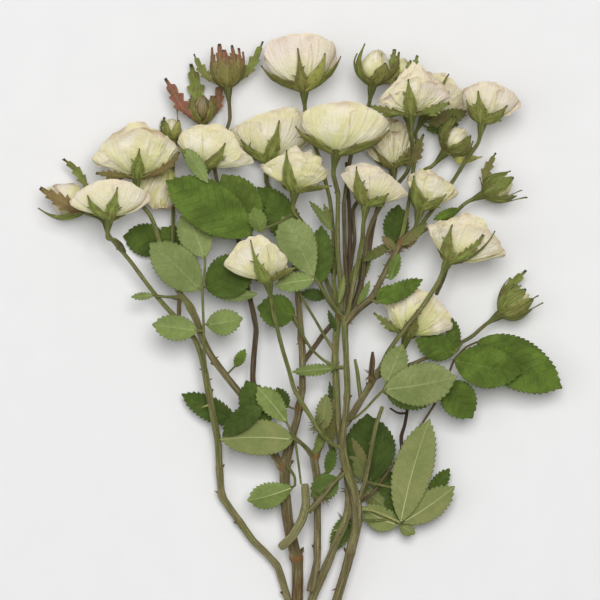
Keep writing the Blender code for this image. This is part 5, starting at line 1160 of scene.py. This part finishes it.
def sepal(skin, cup, azimuth, reach, offset, width, outline, draw, tint, lobes):
    """One sepal that wraps the bowl from the hip to its tip, with narrow side lobes."""
    leafy = outline in LEAFY
    rows, columns = LEAFY_CELLS if leafy else PLAIN_CELLS
    seed = draw.randrange(1 << 30)
    s = np.linspace(0.0, 1.0, rows + 1)
    c = np.linspace(-1.0, 1.0, columns + 1)
    t = reach * s
    speed = np.linalg.norm(cup.around(np.maximum(t, LOWEST_T), azimuth), axis=-1)
    speed = np.maximum(speed / (2.0 * T_STEP), LEAST_SPEED)
    half = width / 2.0 * np.interp(s, *zip(*outline))
    tall = np.broadcast_to(t[:, None], (rows + 1, columns + 1))
    if leafy:
        drift = SAW_DRIFT * wave(s, 0.0, SEPAL_TEETH, seed)
        cut = ease(s, *SAW_START)
        teeth = saw(s + drift, PLUME_TEETH if outline is PLUME else LEAFY_TEETH)
        half = half * (1.0 - SAW_DEPTH * cut * (1.0 - teeth))
        tall = tall + SAW_REACH * reach * (teeth * cut)[:, None] * np.abs(c) ** 3
    else:
        half = half * (1.0 + RAGGED_EDGE * wave(s, 0.0, SEPAL_EDGE, seed))
    turn = np.minimum(half / speed, WIDEST_TURN)[:, None]
    sway = SEPAL_SWAY * wave(s, 0.0, SEPAL_SWERVE, seed)[:, None]
    around = azimuth + sway * s[:, None] / speed[:, None] + turn * c
    normal = cup.normal(tall, around)
    tip_rise = draw.uniform(0.2, 1.4) * s[:, None] ** 4
    rise = (SEPAL_RISE if cup.closing == OPEN else CLOSE_RISE) + tip_rise + 0.3 * (1.0 - np.abs(c))
    rise = rise + 0.2 * wave(c, s[:, None], SEPAL_BUCKLE, seed)
    grid = cup.point(tall, around, 0.5) + normal * rise[..., None] + offset * (s ** 2)[:, None, None]
    if outline in (PLUME, FERN) or tint[1] <= LOOSE:
        grid = laid_flat(grid, s, c, 1.0 if azimuth > 0.0 else -1.0)
    shade = draw.uniform(0.0, 1.0)
    skin.sheet(grid, SEPAL_THICKNESS, grain=bands(c, s[:, None], shade), tint=tint)
    for _ in range(lobes):
        side_lobe(skin, grid, normal, rows, tint, shade, draw)


def calyx(skin, name, tips, width, count):
    cup = CUPS[name]
    draw = random.Random("sepals of " + name)
    odd = ODD_SEPALS.get(name, {})
    rows = [(tip, *odd.get(number, (width, LANCE, draw.uniform(0.0, 0.15), draw.uniform(0.0, 0.4), 0.0)))
            for number, tip in enumerate(tips)]
    for number, (tip, broad, outline, red, dark, blush) in enumerate(rows + MORE_SEPALS.get(name, [])):
        if broad > 0.0:
            azimuth, reach, offset = sepal_aim(cup, tip)
            azimuth = -azimuth if (name, number) in BEHIND else azimuth
            lobes = draw.choice((1, 2, 3, 4)) if outline in (SLIM, LANCE) and broad > LOBED_WIDTH else 0
            sepal(skin, cup, azimuth, reach, offset, broad, outline, draw, (red, dark, blush), lobes)
    hidden = max(2, count - len(tips))
    for number in range(hidden):
        azimuth = -math.pi * (number + 1.0) / (hidden + 1.0)
        sepal(skin, cup, azimuth, HIDDEN_LENGTH, np.zeros(3), width, LANCE, draw, HIDDEN_TINT, 0)


def sepal_pieces():
    for piece, flowers, width, count in (("bloom_sepals", BLOOMS, SEPAL_WIDTH, SEPALS),
                                         ("bud_sepals", BUDS, BUD_SEPAL_WIDTH, BUD_SEPALS)):
        skin = Skin()
        for name, flower in flowers.items():
            calyx(skin, name, flower.sepals, width, count)
        skin.piece(piece, [SEPAL_FINISH], "leaf", [])


# --- Canes ----------------------------------------------------------------------------------------

def bark_tone(name, count):
    """Wood, darkness and redness along a route."""
    start, end = BARKS.get(name, GREEN_STALK)
    share = np.linspace(0.0, 1.0, count)
    return bands(start[0] + (end[0] - start[0]) * share, start[1] + (end[1] - start[1]) * share, 0.0)


def node_rings(route, tone, draw):
    """Swellings with a reddish ring where leaves once grew."""
    along = run_length(route)
    spots = []
    place = draw.uniform(0.4, 1.0) * NODE_SPACING
    while place < along[-1] - NODE_CLEARANCE:
        spots.append(place)
        place += NODE_SPACING * draw.uniform(0.7, 1.3)
    for spot in spots:
        route[:, 3] *= 1.0 + RING_SWELL * np.exp(-((along - spot) / RING_WIDTH) ** 2)
        tone[:, 2] = np.maximum(tone[:, 2], RING_RED * np.exp(-((along - spot) / RED_WIDTH) ** 2))
    return [int(np.argmin(np.abs(along - spot))) for spot in spots]


def knots(route, tone):
    """Swollen, reddish nodes where the table has them."""
    for x, y, swell, red in KNOTS:
        gap = np.hypot(route[:, 0] - x, route[:, 1] - y)
        if gap.min() < KNOT_REACH:
            route[:, 3] *= 1.0 + swell * np.exp(-(gap / KNOT_REACH) ** 2)
            tone[:, 2] = np.maximum(tone[:, 2], red * np.exp(-(gap / KNOT_RED_REACH) ** 2))


def spike(skin, root, run, bend, radii, sides, tone, seed):
    """A short pointed tube, straight along its run and bent aside towards its tip."""
    p = np.linspace(0.0, 1.0, len(radii))[:, None]
    skin.tube(np.hstack([root + run * p + bend * p ** 2, radii[:, None]]), sides, tone=tone, seed=seed)


def thorn(skin, root, aim, length, radius, tone):
    radii = radius * (1.0 - np.linspace(0.0, 1.0, 6)) ** 0.8 + 0.03
    spike(skin, root, aim * length, UP * -0.1 * length, radii, 6, tone, THORN_SEED)


def bud_eye(skin, route, place, draw):
    """The small dry bud of a node."""
    size = route[place, 3]
    ahead = unit(route[place + 1, :3] - route[place, :3])
    side = unit(np.cross(ahead, UP)) * draw.choice((-1.0, 1.0))
    aim = unit(ahead * 1.2 + side + UP * 0.2)
    radii = size * 0.3 * np.sin(math.pi * np.linspace(0.25, 1.0, 7) * 0.98) + THINNEST
    spike(skin, route[place, :3] + side * size * 0.7, aim * size * 1.1, NOTHING, radii, 7, EYE_TONE, EYE_SEED)


def tuft(skin, foot, reach, count, wood, draw):
    """Dry, bristly slivers that stand out of a node."""
    brown = 0.2 * max(wood, 0.0)
    for _ in range(count):
        aim = unit(heading(draw.uniform(0.0, math.tau), draw.uniform(*SLIVER_RISES)))
        length = reach * draw.uniform(*SLIVER_LENGTHS)
        bend = unit(np.cross(aim, UP)) * draw.uniform(*SLIVER_BENDS) * length
        radii = draw.uniform(*SLIVER_RADII) * np.sin(math.pi * np.linspace(0.2, 1.0, 7)) + THINNEST
        tone = (wood + draw.uniform(-0.3, 0.3), brown + draw.uniform(0.0, 0.3), brown)
        spike(skin, foot[:3] + aim * foot[3] * 0.7, aim * length, bend, radii, 5, tone, draw.randrange(1000))


def nearest(feet, x, y):
    """The row of a route nearest to a place in plan, rather a high one than a low one."""
    return feet[np.argmin(np.hypot(feet[:, 0] - x, feet[:, 1] - y) - 0.02 * feet[:, 2])]


def cane(skin, name, route):
    """One route of the canes, in its bark, with the buds of its nodes."""
    draw = random.Random("bark of " + name)
    tone = bark_tone(name, len(route))
    thick = route[0, 3] > THICK_CANE
    knots(route, tone)
    places = node_rings(route, tone, draw) if thick and len(route) > NODED_ROWS else []
    seed = draw.randrange(1 << 20)
    tint = np.zeros((len(route), 3))
    tint[:, 0] = draw.uniform(0.0, 1.0)
    if name in CUPS:
        tint[:, 1] = ease(np.arange(len(route)), *(len(route) - rows for rows in HIP_ROWS))
        tint[:, 1] *= draw.uniform(0.5, 1.0)
        tone[:, 0] *= 1.0 - tint[:, 1]
    if name == "cut_stub":
        route[[0, -1], 3] *= STUB_ENDS[0]
        route[[1, -2], 3] *= STUB_ENDS[1]
    sides, ridges = THICK_BARK if thick else THIN_BARK
    skin.tube(route, sides, ridges=ridges, seed=seed, bare=name == "bloom_05", tone=tone, tint=tint)
    for place in places:
        bud_eye(skin, route, place, draw)


def cane_pieces():
    routes = {"centre": smooth_route(CENTRE_CANE)}
    routes.update({name: flower_route(name, cup) for name, cup in CUPS.items()})
    routes.update({name: smooth_route(table) for name, table in TWIGS.items()})
    skin = Skin()
    for name, route in routes.items():
        cane(skin, name, route)
    feet = np.concatenate(list(routes.values()))
    for x, y, turned, length, wood in PRICKLES:
        foot = nearest(feet, x, y)
        aim = heading(math.radians(turned), 0.15)
        tone = (wood, 0.25 * max(wood, 0.0), 0.3 * max(wood, 0.0))
        thorn(skin, foot[:3] + aim * foot[3] * 0.6, aim, length, PRICKLE_RADIUS, tone)
    draw = random.Random("tufts")
    for x, y, reach, count, wood in TUFTS:
        tuft(skin, nearest(feet, x, y), reach, count, wood, draw)
    for _ in range(BRISTLES):
        foot = feet[draw.randrange(len(feet))]
        if foot[1] > LOWEST_BRISTLE:
            aim = heading(draw.uniform(0.0, math.tau), draw.uniform(*BRISTLE_RISES))
            root = foot[:3] + aim * foot[3] * 0.7
            thorn(skin, root, aim, draw.uniform(*BRISTLE_LENGTHS), BRISTLE_RADIUS, BRISTLE_TONE)
    # The darkness of the stray stalks is painted shade
    for number, (table, tone) in enumerate(STRAYS):
        sides, ridges = THIN_BARK
        skin.tube(smooth_route(table, step=1.0), sides, ridges=ridges, seed=number + STRAY_SEED, tone=tone)
    skin.piece("canes_bark", [BARK_FINISH], "bark", ["canes"])
    return routes


# --- Leaves ---------------------------------------------------------------------------------------

def half_width(shape, share, broad):
    """Half the width of a blade without its teeth. Its last part narrows straight to the tip."""
    full = shape.width / 2.0 * np.sin(math.pi * np.clip(share, 0.0, 1.0) ** broad) ** LEAF_FULL
    at_edge = shape.width / 2.0 * math.sin(math.pi * TIP_START ** broad) ** LEAF_FULL
    return np.where(share > TIP_START, at_edge * (1.0 - share) / (1.0 - TIP_START), full)


def blade_edge(shape, length, broad, depth, seed):
    """Places along a blade, how far its edge is from the rib, and how far forward each tooth points."""
    teeth = max(FEWEST_TEETH, int(round(length / (TOOTH_LENGTH + TOOTH_GROWTH * length))))
    share = np.append(((np.arange(teeth)[:, None] + TOOTH_PHASES) / teeth).ravel(), 1.0)
    bite = np.append(np.tile(TOOTH_LIFTS, teeth), 0.0)
    bite = bite * depth * ease(share, 0.02, 0.2) * (1.0 - ease(share, 0.94, 1.0))
    forward = np.append(np.tile(TOOTH_FORWARD, teeth) / teeth, 0.0)
    uneven = 1.0 + 0.25 * wave(share * teeth, 0.0, BLADE_TEETH, seed)
    edge = np.maximum(half_width(shape, share, broad) + bite * uneven, 0.0)
    return share, np.maximum(edge, np.where(share < 0.5, FOOT_HALF, TIP_HALF)), forward


def blade(skin, shape, joint, level, draw, seed, look):
    """A toothed blade with its midrib and side veins, folded along the rib and arched from base to tip."""
    base = np.array((*shape.base, level))
    span = np.array((*shape.tip, level)) - base
    length = np.linalg.norm(span)
    ahead = span / length
    beside = np.cross(ahead, UP)
    bend = min(1.0, length / FULL_BEND_LENGTH)
    arch = draw.uniform(*ARCHES) * bend
    droop = draw.uniform(*DROOPS) * bend
    roll = draw.uniform(*ROLLS)
    upper = shape.face == "upper"
    # dry is the dryness of the blade, and below nought the depth of its painted shade
    broad, seen, dry, sweep, pale = look
    fold = FOLD * draw.uniform(*FOLDS) * (1.0 if upper else -1.0)
    depth = BITES[shape.face] * math.sqrt(min(1.0, shape.width / FULL_BITE_WIDTH))
    share, edge, forward = (rows[:, None] for rows in blade_edge(shape, length, broad, depth, seed))
    columns = BLADE_COLUMNS
    outer = np.abs(columns) > LAST_INNER
    body = np.maximum(half_width(shape, share, broad), 0.3)
    aside = np.where(outer, edge, body) * columns
    rib = np.sign(columns) * np.minimum(RIB_HALF, RIB_SHARE * edge)
    aside = np.where(np.abs(columns) == RIB_COLUMN, rib, aside)
    aside = np.clip(aside, -edge, edge)
    run = share + forward * outer
    lift = arch * 4.0 * run * (1.0 - run) + droop * run + fold * np.abs(aside) + roll * aside
    pairs = min(10, max(5, int(round(length / VEIN_SPACING))))
    phase = (run * length - 0.8 * np.abs(aside) - 0.012 * aside ** 2) * pairs / length
    relief = np.cos(math.tau * phase) * VEIN_RELIEF * np.minimum(1.0, np.abs(aside) / 1.5)
    relief = relief * (1.0 - np.abs(columns) ** 3)
    ridge = np.exp(-(aside / 0.35) ** 2) * (1.0 - 0.6 * run)
    lift = lift + (-relief - RIB_SUNK * ridge if upper else relief + RIB_RAISED * ridge)
    buckle = wave(run, np.sign(aside), BLADE_BUCKLE, seed) * (aside / (shape.width / 2.0)) ** 2
    lift = lift + 0.5 * buckle + 0.12 * wave(run * length, aside, BLADE_RIPPLE, seed)
    lift = lift * ease(run, -0.02, 0.12)
    bow = sweep * 4.0 * run * (1.0 - run)
    grid = base + ahead * (length * run)[..., None] + beside * (aside + bow)[..., None] + UP * lift[..., None]
    grid, aside, phase, run = (rows[:, ::-1] for rows in (grid, aside, phase, run))
    relative = np.clip(aside / np.maximum(edge, 0.3), -1.0, 1.0)
    shade = draw.uniform(0.0, 1.0)
    skin.sheet(grid, BLADE_THICKNESS - BLADE_THINNING * np.abs(relative) ** 4,
               back={"tone": bands(relative, phase, 1.0 - seen)}, grain=bands(aside, run * length, shade),
               tone=bands(relative, phase, seen), tint=bands(dry, shade, 0.85 * pale * (1.0 - 0.75 * run)))
    places = (joint, (joint + base) / 2.0, base + ahead * 1.2 + UP * 0.1)
    stem = smooth_route([(*place, radius) for place, radius in zip(places, STEM_RADII)], step=0.7, passes=2)
    skin.tube(stem, STEM_SIDES, slot=1, tone=STEM_TONE, seed=seed % 1000)


def nearest_bark(point, routes):
    """The centre of the bark nearest to a point."""
    best = None
    for route in routes.values():
        gap = np.linalg.norm(route[:, :3] - point, axis=1) - route[:, 3]
        place = int(np.argmin(gap))
        if best is None or gap[place] < best[0]:
            best = (gap[place], route[place, :3])
    return best[1]


def blade_look(name, number, face):
    """The look of one blade of a leaf."""
    key = (name, number)
    if key in DARK_BLADES:
        return DARK_BROAD, 0.0, DARK_BLADES[key], 0.0, DARK_RIB
    return BLADE_LOOKS.get(key, PLAIN_LOOKS[face])


def leaf_piece(name, leaf, routes):
    lift = LIFTS.get(name, 0.0)
    draw = random.Random(name)
    other = random.Random("face of " + name)
    points = [np.array(point, float) for point in leaf.stalk]
    stalk = [nearest_bark(points[0], routes)] + [point + UP * lift for point in points[1:]]
    table = [(*point, STALK * (1.0 if number else STALK_FOOT) - STALK_TAPER * number)
             for number, point in enumerate(stalk)]
    route = smooth_route(table, passes=3)
    skin = Skin()
    tone = LEAF_BARKS.get(name, PLAIN_STALK)
    skin.tube(route, STALK_SIDES, slot=1, ridges=STALK_RIDGES, tone=tone, seed=other.randrange(1000))
    for number, shape in enumerate(leaf.blades):
        base = np.array((*shape.base, shape.level + lift))
        joint = route[np.argmin(np.linalg.norm(route[:, :3] - base, axis=1)), :3]
        look = blade_look(name, number, shape.face)
        blade(skin, shape, joint, base[2], draw, other.randrange(1 << 20), look)
    for points, tone in PETIOLES.get(name, []):
        route = smooth_route(points, passes=3)
        skin.tube(route, STEM_SIDES, slot=1, tone=tone, seed=other.randrange(1000))
    skin.piece(name + "_blades", [LEAF_FINISH, BARK_FINISH], "leaf", [name])


def bract_piece(routes):
    draw = random.Random("bracts")
    skin = Skin()
    for shape, look in BRACTS:
        base = np.array((*shape.base, shape.level))
        blade(skin, shape, nearest_bark(base, routes), base[2], draw, draw.randrange(1 << 20), look)
    skin.piece("bracts", [LEAF_FINISH, BARK_FINISH], "leaf", [])


# --- Materials ------------------------------------------------------------------------------------

class Paint:
    """A node material and the few kinds of node that it is made of."""

    def __init__(self, name, roughness, specular):
        self.material = bpy.data.materials.new(name)
        self.material.use_nodes = True
        self.tree = self.material.node_tree
        self.shader = self.tree.nodes["Principled BSDF"]
        self.shader.inputs["Roughness"].default_value = roughness
        self.shader.inputs["Specular IOR Level"].default_value = specular

    def feed(self, sockets, values):
        for socket, value in zip(sockets, values):
            if isinstance(value, bpy.types.NodeSocket):
                self.tree.links.new(value, socket)
            else:
                socket.default_value = value

    def node(self, kind, *values, **settings):
        """A new node with its first inputs fed in order."""
        node = self.tree.nodes.new("ShaderNode" + kind)
        for key, value in settings.items():
            setattr(node, key, value)
        self.feed(node.inputs, values)
        return node

    def times(self, first, second):
        return self.node("Math", first, second, operation="MULTIPLY").outputs[0]

    def plus(self, first, second):
        return self.node("Math", first, second, operation="ADD").outputs[0]

    def most(self, first, second):
        return self.node("Math", first, second, operation="MAXIMUM").outputs[0]

    def size(self, value):
        return self.node("Math", value, operation="ABSOLUTE").outputs[0]

    def step(self, value, low, high, start=0.0, end=1.0):
        """Smooth step of a value into a share."""
        return self.node("MapRange", value, low, high, start, end, interpolation_type="SMOOTHSTEP").outputs[0]

    def mix(self, share, first, second):
        colours = [colour if isinstance(colour, bpy.types.NodeSocket) else (*colour, 1.0)
                   for colour in (first, second)]
        node = self.node("Mix", share, data_type="RGBA")
        self.feed(node.inputs[6:8], colours)
        return node.outputs[2]

    def coats(self, colour, *coats):
        """A colour under coats, each with its share and its own colour."""
        for share, coat in coats:
            colour = self.mix(share, colour, coat)
        return colour

    def notes(self, name):
        """The three numbers that a mesh carries under a name."""
        node = self.node("Attribute", attribute_name=name)
        return tuple(self.node("SeparateXYZ", node.outputs["Vector"]).outputs)

    def place(self, scale):
        """Position on the object, in steps of 1 / scale metres."""
        node = self.node("VectorMath", self.node("TexCoord").outputs["Object"], operation="SCALE")
        node.inputs["Scale"].default_value = scale
        return node.outputs[0]

    def stretched(self, *pairs):
        """A place in a pattern, from three values and how often each runs through it."""
        return self.node("CombineXYZ", *(self.times(value, often) for value, often in pairs)).outputs[0]

    def noise(self, vector, detail=2.0, roughness=0.5):
        node = self.node("TexNoise")
        names = ("Vector", "Scale", "Detail", "Roughness")
        self.feed([node.inputs[name] for name in names], (vector, 1.0, detail, roughness))
        return node.outputs[0]

    def net(self, vector, width):
        """Lines of a width along the borders of irregular cells."""
        node = self.node("TexVoronoi", feature="DISTANCE_TO_EDGE")
        self.feed([node.inputs["Vector"], node.inputs["Scale"]], (vector, 1.0))
        return self.step(node.outputs["Distance"], width, 0.0)

    def finish(self, colour, height, depth):
        bump = self.node("Bump")
        names = ("Strength", "Distance", "Height")
        self.feed([bump.inputs[name] for name in names], (1.0, depth * MM, height))
        self.feed([self.shader.inputs[name] for name in ("Base Color", "Normal")], (colour, bump.outputs[0]))
        return self.material


def petal_finish():
    paint = Paint("petal_finish", 0.7, 0.2)
    u, s, shade = paint.notes("grain")
    pink, green, brown = paint.notes("tint")
    around, _, crease = paint.notes("tone")
    fibres = paint.noise(paint.stretched((around, 5.0), (s, 1.6), (shade, 1.0)), 3.0)
    clouds = paint.noise(paint.stretched((u, 1.6), (s, 2.2), (shade, 31.0)))
    specks = paint.noise(paint.place(900.0))
    crinkle = paint.noise(paint.place(190.0), 3.0, 0.55)
    crinkle = paint.step(paint.size(paint.plus(crinkle, -0.5)), 0.05, 0.0)
    low = paint.times(paint.step(s, 0.75, 0.1), paint.plus(0.4, green))
    low = paint.times(low, paint.step(fibres, 0.25, 0.7, 0.45, 1.0))
    patch = paint.times(paint.step(clouds, 0.62, 0.42), paint.times(green, 0.6))
    blush = paint.times(paint.step(s, 0.35, 0.95), paint.times(pink, 0.85))
    edge = paint.most(paint.step(s, 0.88, 1.0), paint.step(paint.size(u), 0.9, 1.0, 0.0, 0.6))
    # Rims browned by drying and darkened as painted shade for the shadow line under overlapping rims
    burnt_and_shaded = paint.times(edge, paint.step(clouds, 0.42, 0.62))
    stale = paint.times(paint.step(fibres, 0.36, 0.6), paint.step(brown, 0.5, 1.2))
    spots = paint.times(paint.step(specks, 0.68, 0.74), paint.times(edge, brown))
    colour = paint.coats(
        paint.mix(paint.step(clouds, 0.35, 0.65), *CREAMS),
        (low, GREEN_FOOT),
        (patch, YELLOW_GREEN),
        (blush, PINK),
        (paint.times(paint.step(fibres, 0.52, 0.36), 0.15), VEIN_TAN),
        # Painted shade: darker lines along the creases and wrinkles
        (paint.times(paint.step(crease, 0.3, 1.1), 0.19), CREASE_SHADE),
        (paint.times(burnt_and_shaded, paint.plus(0.15, brown)), RIM_BROWN_AND_SHADE),
        (stale, STALE_BROWN),
        (spots, SPOT_BROWN),
        # Painted shade along the fine crinkles, which the bump also carries
        (paint.times(crinkle, 0.05), CRINKLE_SHADE),
        (paint.step(specks, 0.42, 0.3, 0.0, 0.14), SPECK_TAN),
        (paint.step(brown, 1.2, 2.2, 0.0, 0.7), OLIVE_SHADE))
    height = paint.plus(paint.plus(fibres, paint.times(specks, 0.35)), paint.times(crinkle, -0.14))
    for name, value in (("Weight", 0.08), ("Radius", (1.0, 0.8, 0.4)), ("Scale", 0.0008)):
        paint.shader.inputs["Subsurface " + name].default_value = value
    return paint.finish(colour, height, 0.5)


def leaf_finish():
    paint = Paint("leaf_finish", 0.6, 0.22)
    aside, along, shade = paint.notes("grain")
    relative, phase, under = paint.notes("tone")
    # dry: the dryness of a blade, and below nought its painted shade
    dry, depth, pale = paint.notes("tint")
    clouds = paint.noise(paint.place(110.0), 3.0)
    mottle = paint.noise(paint.place(650.0), 3.0, 0.6)
    net = paint.net(paint.stretched((aside, 1.5), (along, 1.5), (shade, 1.0)), 0.14)
    off = paint.size(paint.plus(paint.node("Math", phase, operation="FRACT").outputs[0], -0.5))
    branch = paint.times(paint.step(off, 0.445, 0.495), paint.step(paint.size(relative), 1.0, 0.6))
    top = paint.coats(
        paint.mix(paint.step(clouds, 0.36, 0.64), *TOP_GREENS),
        (paint.step(mottle, 0.35, 0.65, 0.0, 0.28), TOP_MOTTLE),
        (paint.times(branch, 0.14), TOP_VEIN))
    bottom = paint.coats(
        paint.mix(paint.step(clouds, 0.36, 0.64), *UNDER_GREENS),
        (paint.step(mottle, 0.35, 0.65, 0.0, 0.4), UNDER_MOTTLE),
        (paint.times(net, 0.25), UNDER_NET),
        (paint.times(branch, 0.3), UNDER_VEIN))
    stale = paint.times(paint.most(dry, 0.0), paint.step(clouds, 0.25, 0.7, 0.35, 1.0))
    rib = paint.times(paint.step(paint.size(aside), 0.26, 0.06), pale)
    colour = paint.coats(
        paint.mix(under, top, bottom),
        (stale, paint.mix(under, *DRY_LEAF)),
        # Painted shade: blades with a dryness below nought are darkened
        (paint.step(dry, 0.0, -1.0, 0.0, 0.75), PAINTED_LEAF_SHADE),
        (rib, LEAF_RIB),
        (paint.step(depth, 0.0, 1.0, 0.0, 0.2), DEEP_LEAF),
        (paint.step(paint.size(relative), 0.92, 1.0, 0.0, 0.55), LEAF_BRINK))
    relief = paint.plus(paint.times(branch, -0.8), paint.times(net, -0.5))
    sign = paint.plus(1.0, paint.times(under, -2.0))
    return paint.finish(colour, paint.plus(paint.times(relief, sign), paint.times(mottle, 1.2)), 0.2)


def sepal_finish():
    paint = Paint("sepal_finish", 0.65, 0.2)
    c, s, shade = paint.notes("grain")
    red, dark, blush = paint.notes("tint")
    red = paint.most(red, paint.times(blush, paint.step(s, 0.4, 0.9)))
    fibres = paint.noise(paint.stretched((c, 3.0), (s, 4.0), (shade, 1.0)), 3.0)
    mottle = paint.noise(paint.place(750.0), 3.0, 0.6)
    patches = paint.noise(paint.place(300.0), 3.0, 0.6)
    colour = paint.coats(
        paint.mix(paint.step(fibres, 0.3, 0.7), *SEPAL_GREENS),
        (paint.step(dark, 0.0, 1.0, 0.0, 0.8), paint.mix(mottle, *SEPAL_DARKS)),
        (paint.step(dark, -0.1, -0.8), SEPAL_PALE),
        (red, paint.mix(mottle, *SEPAL_REDS)),
        (paint.step(paint.size(c), 0.65, 1.0, 0.0, 0.5),
         paint.mix(paint.step(patches, 0.4, 0.6), *SEPAL_EDGES)),
        (paint.step(patches, 0.5, 0.66, 0.0, 0.55), SEPAL_BLOTCH),
        (paint.step(mottle, 0.45, 0.3, 0.0, 0.4), SEPAL_MOTTLE),
        (paint.step(paint.size(c), 0.14, 0.02, 0.0, 0.25), SEPAL_RIB),
        (paint.step(s, 0.93, 1.0), SEPAL_TIP))
    return paint.finish(colour, paint.plus(fibres, mottle), 0.3)


def bark_finish():
    paint = Paint("bark_finish", 0.65, 0.22)
    around, along, shade = paint.notes("grain")
    wood, dark, node = paint.notes("tone")
    _, hip, _ = paint.notes("tint")
    streaks = paint.noise(paint.stretched((around, 2.2), (along, 0.09), (shade, 50.0)), 4.0, 0.65)
    streaks = paint.step(streaks, 0.32, 0.68)
    patches = paint.noise(paint.place(80.0), 3.0)
    pits = paint.noise(paint.place(1200.0))
    wood = paint.plus(wood, paint.times(paint.plus(patches, -0.5), 0.9))
    colour = paint.coats(
        paint.mix(streaks, *BARK_GREENS),
        (paint.step(wood, 0.1, 0.55), paint.mix(streaks, *BARK_TANS)),
        (paint.step(wood, 0.6, 1.0), paint.mix(streaks, *BARK_BROWNS)),
        (paint.step(wood, -0.2, -0.6), BARK_PALE),
        # Darker bark by the darkness of each route, which on the stray stalks is painted shade
        (dark, paint.mix(streaks, *BARK_DARKS)),
        (paint.times(hip, 0.85), paint.mix(streaks, *HIP_GREENS)),
        (paint.times(paint.step(node, 0.1, 0.9), 0.8), NODE_RED),
        (paint.step(node, -0.2, -0.9), paint.mix(pits, *CUT_CREAMS)),
        (paint.step(dark, 0.0, -1.0), paint.mix(streaks, *BARK_LIGHTS)),
        (paint.step(pits, 0.60, 0.68, 0.0, 0.55), PIT_BROWN))
    return paint.finish(colour, paint.plus(paint.times(streaks, 1.2), paint.times(pits, 0.6)), 0.3)


def floor_finish():
    paint = Paint("floor_finish", 0.8, 0.2)
    grain = paint.noise(paint.place(60.0), 3.0)
    return paint.finish(paint.mix(grain, *FLOOR_GREYS), grain, 0.02)


PETAL_FINISH = petal_finish()
LEAF_FINISH = leaf_finish()
SEPAL_FINISH = sepal_finish()
BARK_FINISH = bark_finish()


# --- Stage ----------------------------------------------------------------------------------------

def placed(name, data):
    item = bpy.data.objects.new(name, data)
    bpy.context.scene.collection.objects.link(item)
    return item


def make_camera():
    data = bpy.data.cameras.new("camera")
    data.sensor_width = SENSOR
    data.lens = SENSOR * (VIEW_HEIGHT - VIEW_PLANE) / VIEW_WIDTH
    camera = placed("camera", data)
    camera.location = (*VIEW_CENTRE, VIEW_HEIGHT)
    bpy.context.scene.camera = camera


def make_light(name, location, size, energy, colour):
    """A square light that looks at the origin."""
    data = bpy.data.lights.new(name, "AREA")
    data.shape = "SQUARE"
    data.size = size
    data.energy = energy
    data.color = colour
    light = placed(name, data)
    light.location = location
    light.rotation_mode = "QUATERNION"
    light.rotation_quaternion = (-Vector(location)).to_track_quat("-Z", "Y")


def make_floor():
    mesh = bpy.data.meshes.new("floor")
    corners = [(x * FLOOR_REACH, y * FLOOR_REACH, FLOOR_HEIGHT)
               for x, y in ((-1, -1), (1, -1), (1, 1), (-1, 1))]
    mesh.from_pydata(corners, [], [(0, 1, 2, 3)])
    mesh.materials.append(floor_finish())
    floor = placed("floor", mesh)


def make_world():
    world = bpy.data.worlds.new("studio")
    world.use_nodes = True
    background = world.node_tree.nodes["Background"]
    background.inputs[0].default_value = (1.0, 1.0, 1.0, 1.0)
    background.inputs[1].default_value = WORLD_LIGHT
    bpy.context.scene.world = world


def main():
    make_camera()
    make_world()
    make_floor()
    for light in LIGHTS:
        make_light(*light)
    bpy.context.scene.view_settings.view_transform = "Standard"
    routes = cane_pieces()
    sepal_pieces()
    for name in BLOOMS:
        bloom_petals(name)
    for name in BUDS:
        bud_petals(name)
    for name, leaf in LEAVES.items():
        leaf_piece(name, leaf, routes)
    bract_piece(routes)


main()
